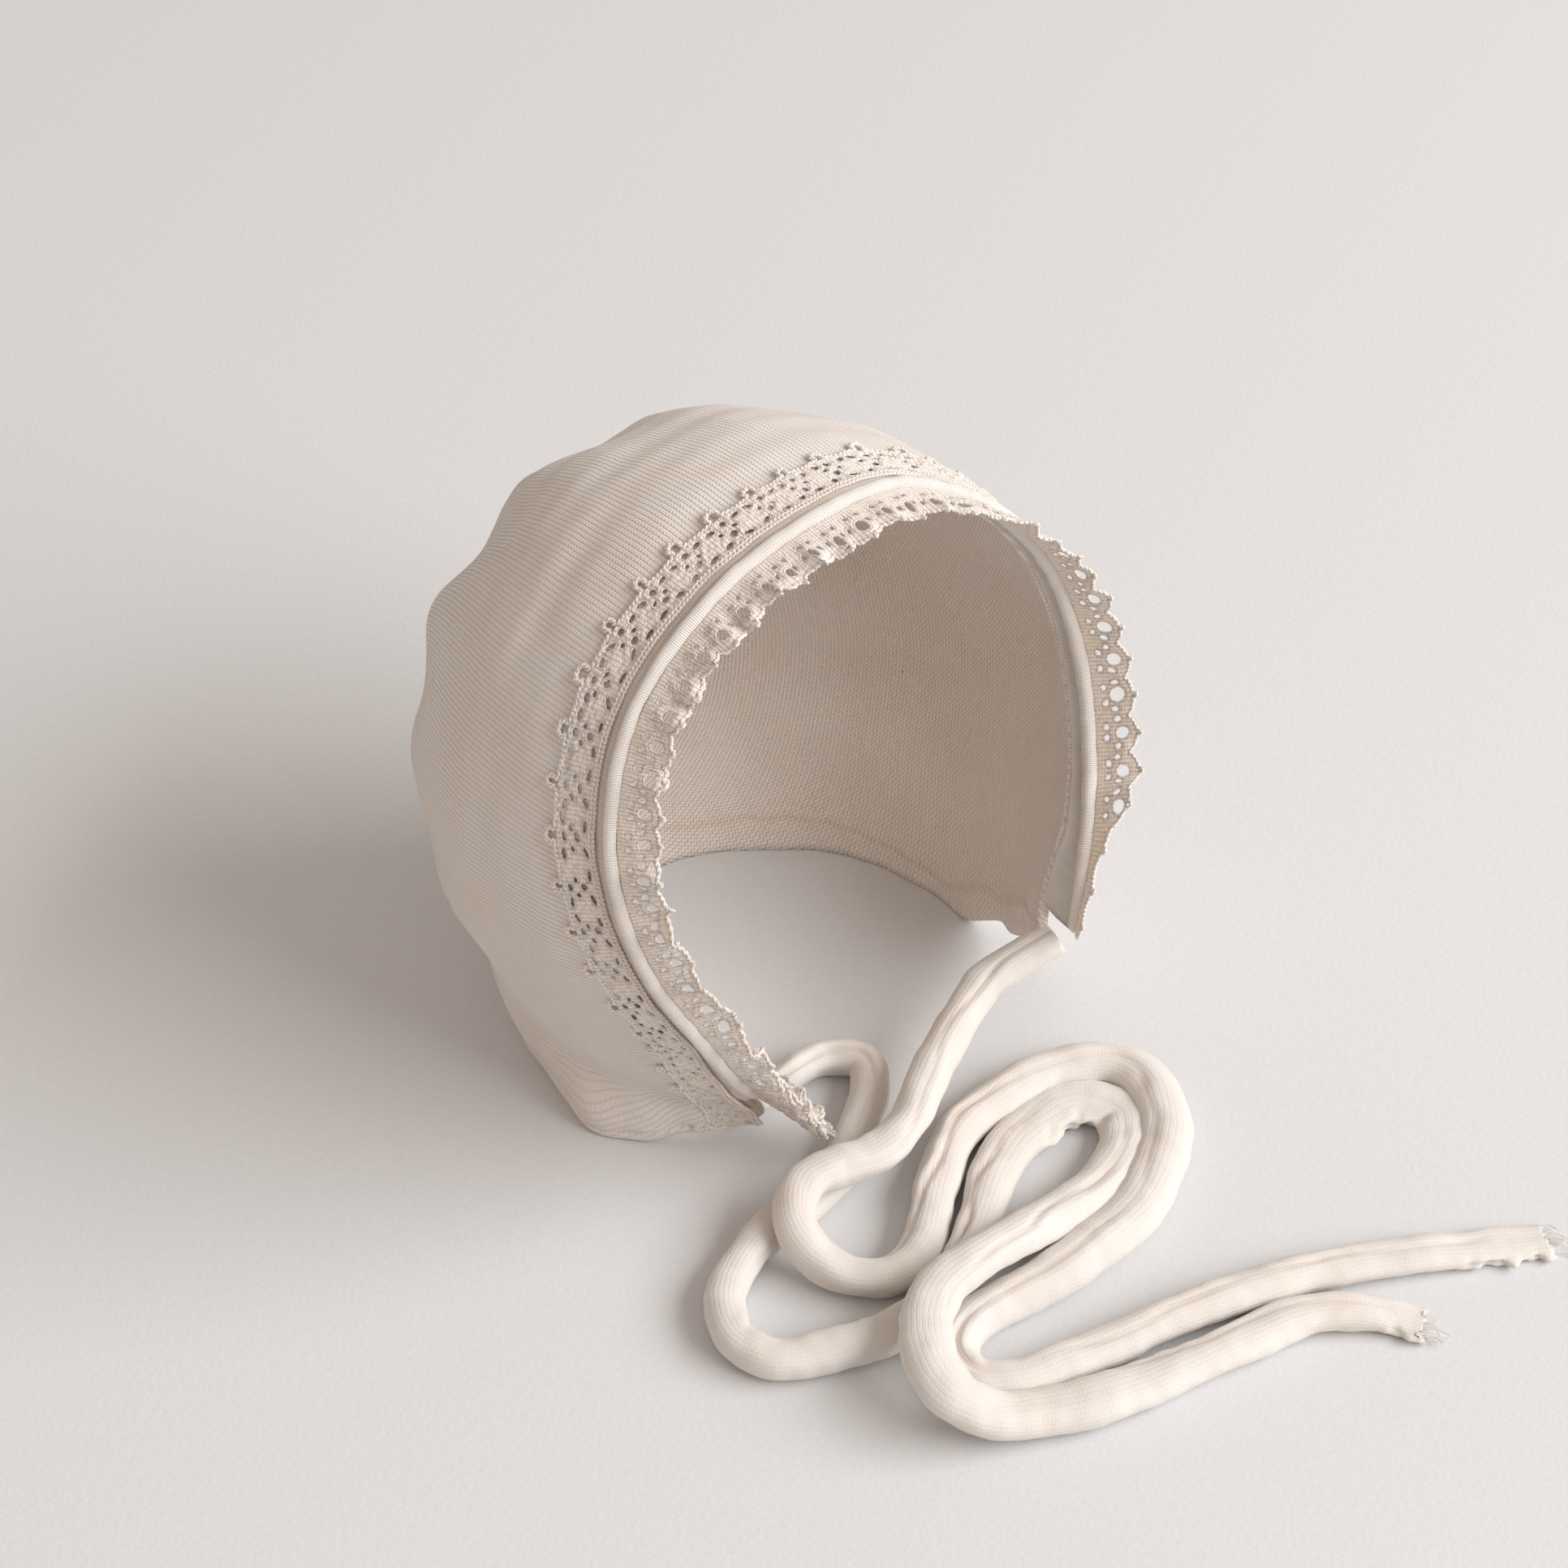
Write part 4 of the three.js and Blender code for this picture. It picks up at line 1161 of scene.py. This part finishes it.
def pierced_ground(length, band, holes, draw):
    """The close-worked ground of a band: a knotted sheet as thick as its threads, with its holes cut out."""
    columns = round(length / GROUND_CELL) + 1
    rows = round((band["edge"] + band["peak"]) / GROUND_CELL) + 2
    s, t = np.meshgrid(np.linspace(0, length, columns), np.arange(rows) * GROUND_CELL, indexing="ij")
    s_mid, t_mid = (s[:-1, :-1] + s[1:, 1:]) / 2, (t[:-1, :-1] + t[1:, 1:]) / 2
    kept = t_mid < outer_edge(s_mid, band, length)
    far_off, reach = 9.0, 2.2
    nearest = np.full(s.shape, far_off)
    hole_s, hole_t = np.zeros(s.shape), np.zeros(s.shape)
    for hole in holes:
        window = slice(*np.searchsorted(s[:, 0], (hole["along"] - reach, hole["along"] + reach)))
        kept[window] &= from_hole(hole, s_mid[window], t_mid[window]) > 1
        far = from_hole(hole, s[window], t[window])
        closer = far < nearest[window]
        nearest[window] = np.where(closer, far, nearest[window])
        hole_s[window] = np.where(closer, hole["along"], hole_s[window])
        hole_t[window] = np.where(closer, hole["across"], hole_t[window])

    # Points on a border move onto it, so that the holes and the edge are smooth
    around = np.zeros((columns + 1, rows + 1), int)
    around[1:-1, 1:-1] = kept
    touching = around[:-1, :-1] + around[1:, :-1] + around[:-1, 1:] + around[1:, 1:]
    used = touching > 0
    border = used & (touching < 4)
    by_hole, least = 1.75, 0.3
    at_hole = border & (nearest < by_hole)
    scale = 1 / np.maximum(nearest, least)
    s = np.where(at_hole, hole_s + (s - hole_s) * scale, s)
    t = np.where(at_hole, hole_t + (t - hole_t) * scale, t)
    edge = outer_edge(s, band, length)
    at_edge = border & ~at_hole & (t > edge - 2 * GROUND_CELL)
    t = np.where(at_edge, edge, t)

    # The top is knotted, the underside is flatter, and both meet at the borders
    knot = knots(s, t, band["pitch"], draw)
    ring_middle, ring_width, ring_rise = 1.45, 0.3, 0.12
    ring = bell(nearest - ring_middle, ring_width) * (nearest < 3)
    height = band["thick"] + band["knot"] * knot + ring_rise * ring
    top = np.stack([s, t, np.where(border, 0.0, height)], axis=-1)
    under = np.stack([s, t, -band["thick"] - 0.4 * band["knot"] * knot], axis=-1)
    inside = used & ~border
    index_top = np.cumsum(used).reshape(used.shape) - 1
    index_under = np.where(inside, used.sum() + np.cumsum(inside).reshape(used.shape) - 1, index_top)
    faces = [
        np.stack([index[:-1, :-1], index[1:, :-1], index[1:, 1:], index[:-1, 1:]], axis=-1)[kept]
        for index in (index_top, index_under)
    ]
    quads = np.vstack([faces[0], faces[1][:, ::-1]])
    # Painted shade: darker between the knots and at the borders of the holes and the edge, lighter on the
    # raised rings round the holes
    low = np.clip(0.42 * (1 - knot) - 0.2 * ring, 0, 1)
    painted_shade = np.concatenate([np.where(border, 0.3, low)[used], low[inside]])
    return np.vstack([top[used], under[inside]]), quads, painted_shade


def edge_cord_line(length, band, draw):
    """The line of the corded outer edge, with a picot at each peak."""
    line = []
    repeat = band["repeat"]
    half = repeat / 2
    height = 0.08
    for number in range(round(length / repeat)):
        middle = (number + 0.5) * repeat
        loop = band["picot"] * draw.uniform(0.75, 1.15)
        waist = draw.uniform(0.7, 1.15) * min(band["picot"] / 2, 1)
        for x, y in (
            (-half * 0.98, 0.0), (-half * 0.7, 0.0), (-half * 0.42, 0.0),
            (-waist * 0.9, 0.1 * loop), (-waist * 1.15, 0.5 * loop), (-waist * 0.75, 0.88 * loop),
            (0.05, loop), (waist * 0.8, 0.86 * loop), (waist * 1.1, 0.45 * loop),
            (waist * 0.85, 0.08 * loop), (half * 0.45, 0.0), (half * 0.75, 0.0),
        ):
            along = middle + x + draw.normal(0, 0.07)
            across = outer_edge(np.clip(along, 0, length), band, length) + y + draw.normal(0, 0.07)
            line.append([along, float(across), height + draw.normal(0, 0.05)])
    return smooth_curve(line)


def flat_lace(length, band, corded_back, seed):
    """A band of crochet lace worked flat: its pierced ground, its corded outer edge and, if it has one, its
    corded straight edge."""
    draw = np.random.default_rng(seed)
    lace = Pieces()
    holes = place_holes(length, band, draw)
    points, quads, painted_shade = pierced_ground(length, band, holes, draw)
    lace.add(points, quads, painted_shade=painted_shade)
    for hole in holes:
        lace.add(*hole_ring(hole, band, draw), painted_shade=CORD_SHADE)
    for strand in twisted(edge_cord_line(length, band, draw), band["twist"], band["strand"], 0.34):
        lace.add(*strand, painted_shade=CORD_SHADE)
    if corded_back:
        steps = np.linspace(0, length, round(length / 4))
        sway = 0.14 * lumps_along(steps, 14, seed + 1)
        height, helix, radius, step = 0.3, 0.16, 0.22, 0.36
        for cord in BACK_CORDS:
            line = np.stack([steps, cord["across"] + sway, np.full(len(steps), height)], axis=-1)
            for strand in twisted(smooth_curve(line), helix, radius, step, cord["phase"]):
                lace.add(*strand, painted_shade=CORD_SHADE)
    return lace.joined()


LACE_TO = 0.985
OUTER_START = 3.0
FRONT_START = 1.3
FRONT_PAST_END = 2.5


def outer_lace_band():
    """The lace that lies back over the jersey."""
    worked = round(LACE_TO * RIM_LENGTH / OUTER_BAND["repeat"]) * OUTER_BAND["repeat"]
    points, quads, triangles, painted_shade = flat_lace(worked, OUTER_BAND, True, 51)
    over_flange = 0.4 * (1 - smoothstep(points[:, 1], 1.0, 2.6))
    ripple = 0.13 * lumps(points * [1, 1, 0], 9, 52)
    lift = 0.38 + over_flange + ripple + points[:, 2]
    share = np.clip(LACE_TO * points[:, 0] / worked, 0, 1)
    place = behind_rim(share, OUTER_START + points[:, 1], lift)
    pieces = place, quads, triangles, painted_shade
    return cloth_object("outer_lace_band", pieces, lace_cotton, points[:, :2] / LACE_STITCH)


# How full the frill is. at: millimetres from the right cheek's end. full: lace for each millimetre of rim.
# wave: how high it ruffles.
RUFFLES = table(
    "at full wave",
    (0, 2.2, 1.9),
    (24, 2.0, 1.9),
    (36, 1.2, 1.2),
    (110, 1.15, 1.2),
    (135, 1.3, 1.7),
    (160, 1.25, 1.5),
    (185, 1.0, 0.5),
    (300, 1.0, 0.4),
)


def ruffle_waves(along, distance):
    """How far the frill's edge waves out and sideways: one wave to a scallop, and a slower one over two or
    three of them."""
    turn = FULL_TURN * (along / FRONT_BAND["repeat"] - 0.5)
    slow = 0.42 * turn + 1.5 * lumps_along(along, 28, 62)
    height = between(RUFFLES, "at", "wave", distance) * (1 + 0.3 * lumps_along(along, 17, 64))
    wave = height * (0.55 * np.cos(turn + 0.5 * lumps_along(along, 22, 65)) + 0.7 * np.sin(slow))
    return wave, 0.35 * height * np.sin(2 * slow)


def front_lace_frill():
    """The frill that stands forward from under the piping, ruffled where it is fullest."""
    fine = np.linspace(0, LACE_TO * RIM_LENGTH, 1200)
    lace_used = np.cumsum(between(RUFFLES, "at", "full", fine)) * fine[1]
    worked = round(lace_used[-1] / FRONT_BAND["repeat"]) * FRONT_BAND["repeat"]
    points, quads, triangles, painted_shade = flat_lace(worked, FRONT_BAND, False, 61)
    distance = np.interp(points[:, 0] * lace_used[-1] / worked, lace_used, fine)
    place, along, out, back, angle = rim_frames(np.clip(distance / RIM_LENGTH, 0, 1))
    past_end = FRONT_PAST_END * (1 - smoothstep(distance, 0, 4 * FRONT_PAST_END))
    place = place - along * past_end[:, None]
    spread = 10 * (1 - smoothstep(distance, 0, 16))
    flare = np.radians(between(RIM, "angle", "flare", angle) + spread)[:, None]
    forward = out * np.sin(flare) - back * np.cos(flare)
    thick = out * np.cos(flare) + back * np.sin(flare)

    # The waves grow towards the free edge, and the straight edge is drawn in where the piping ends
    free_from, freest, growth = 7.5, 1.15, 1.3
    loose = np.clip(points[:, 1] / free_from, 0, freest) ** growth
    wave, sideways = ruffle_waves(points[:, 0], distance)
    flutter = 0.3 * lumps(points * [1, 1, 0], 6, 63)
    lift = (loose * (wave + flutter) + points[:, 2])[:, None]
    piping_end = PIPING_FROM * RIM_LENGTH
    set_back = 5.4 * (1 - smoothstep(distance, 0.6 * piping_end, 1.35 * piping_end))
    across = (FRONT_START - set_back + points[:, 1] * (1 + set_back / FRONT_BAND["edge"]))[:, None]
    laid = place + forward * across + thick * lift + along * (sideways * loose)[:, None]
    lowest = 0.1
    laid[:, 2] = np.maximum(laid[:, 2], lowest)
    pieces = laid, quads, triangles, painted_shade
    return cloth_object("front_lace_frill", pieces, lace_cotton, points[:, :2] / LACE_STITCH)


# Floor and light

FLOOR_HALF = 3.0
PAPER_DARK = (0.685, 0.685, 0.69, 1)
PAPER_LIGHT = (0.755, 0.755, 0.76, 1)
WINDOW_PLACE = (1.08, -1.80, 1.46)
WINDOW_TARGET = (0, -0.03, 0.04)
WINDOW_SIZE = (2.7, 1.4)
WINDOW_POWER = 78
WINDOW_COLOUR = (0.965, 0.985, 1.0)
ROOM_COLOUR = (0.512, 0.452, 0.407, 1)


def paper_floor():
    mesh = bpy.data.meshes.new("floor")
    low, high = -FLOOR_HALF, FLOOR_HALF
    mesh.from_pydata([(low, low, 0), (high, low, 0), (high, high, 0), (low, high, 0)], [], [(0, 1, 2, 3)])
    floor = bpy.data.objects.new("floor", mesh)
    bpy.context.scene.collection.objects.link(floor)
    material = bpy.data.materials.new("pale_paper")
    material.use_nodes = True
    tree = material.node_tree
    shader = tree.nodes["Principled BSDF"]
    where = add_node(tree, "ShaderNodeTexCoord").outputs["Object"]
    noise = add_node(tree, "ShaderNodeTexNoise", {"Vector": where, "Scale": 900.0, "Detail": 3.0})
    speckle = noise.outputs["Fac"]
    bump = add_node(tree, "ShaderNodeBump", {"Height": speckle, "Distance": 0.00006})
    fill(tree, shader, {
        "Base Color": mix_colours(tree, speckle, PAPER_DARK, PAPER_LIGHT),
        "Normal": bump.outputs["Normal"],
        "Roughness": 0.95,
    })
    mesh.materials.append(material)


def window_light():
    lamp = bpy.data.lights.new("window", "AREA")
    lamp.shape = "RECTANGLE"
    lamp.size, lamp.size_y = WINDOW_SIZE
    lamp.energy = WINDOW_POWER
    lamp.color = WINDOW_COLOUR
    aim(bpy.data.objects.new("window", lamp), WINDOW_PLACE, WINDOW_TARGET)


def room_light():
    world = bpy.data.worlds.new("room")
    world.use_nodes = True
    background = world.node_tree.nodes["Background"]
    fill(world.node_tree, background, {"Color": ROOM_COLOUR, "Strength": 1.0})
    bpy.context.scene.world = world


# Everything in its place

picture_camera()
lay_tie("left_rolled_tie", "tie_left", TIE_LEFT_ROUTE, TIE_LEFT_ROLL, 11)
lay_tie("right_rolled_tie", "tie_right", TIE_RIGHT_ROUTE, TIE_RIGHT_ROLL, 12)
stand_for(jersey_cap(), "jersey_body")
stand_for(rim_piping(), "rim_piping")
stand_for(outer_lace_band(), "outer_lace")
stand_for(front_lace_frill(), "front_lace")
paper_floor()
window_light()
room_light()
bpy.context.scene.view_settings.view_transform = "Standard"
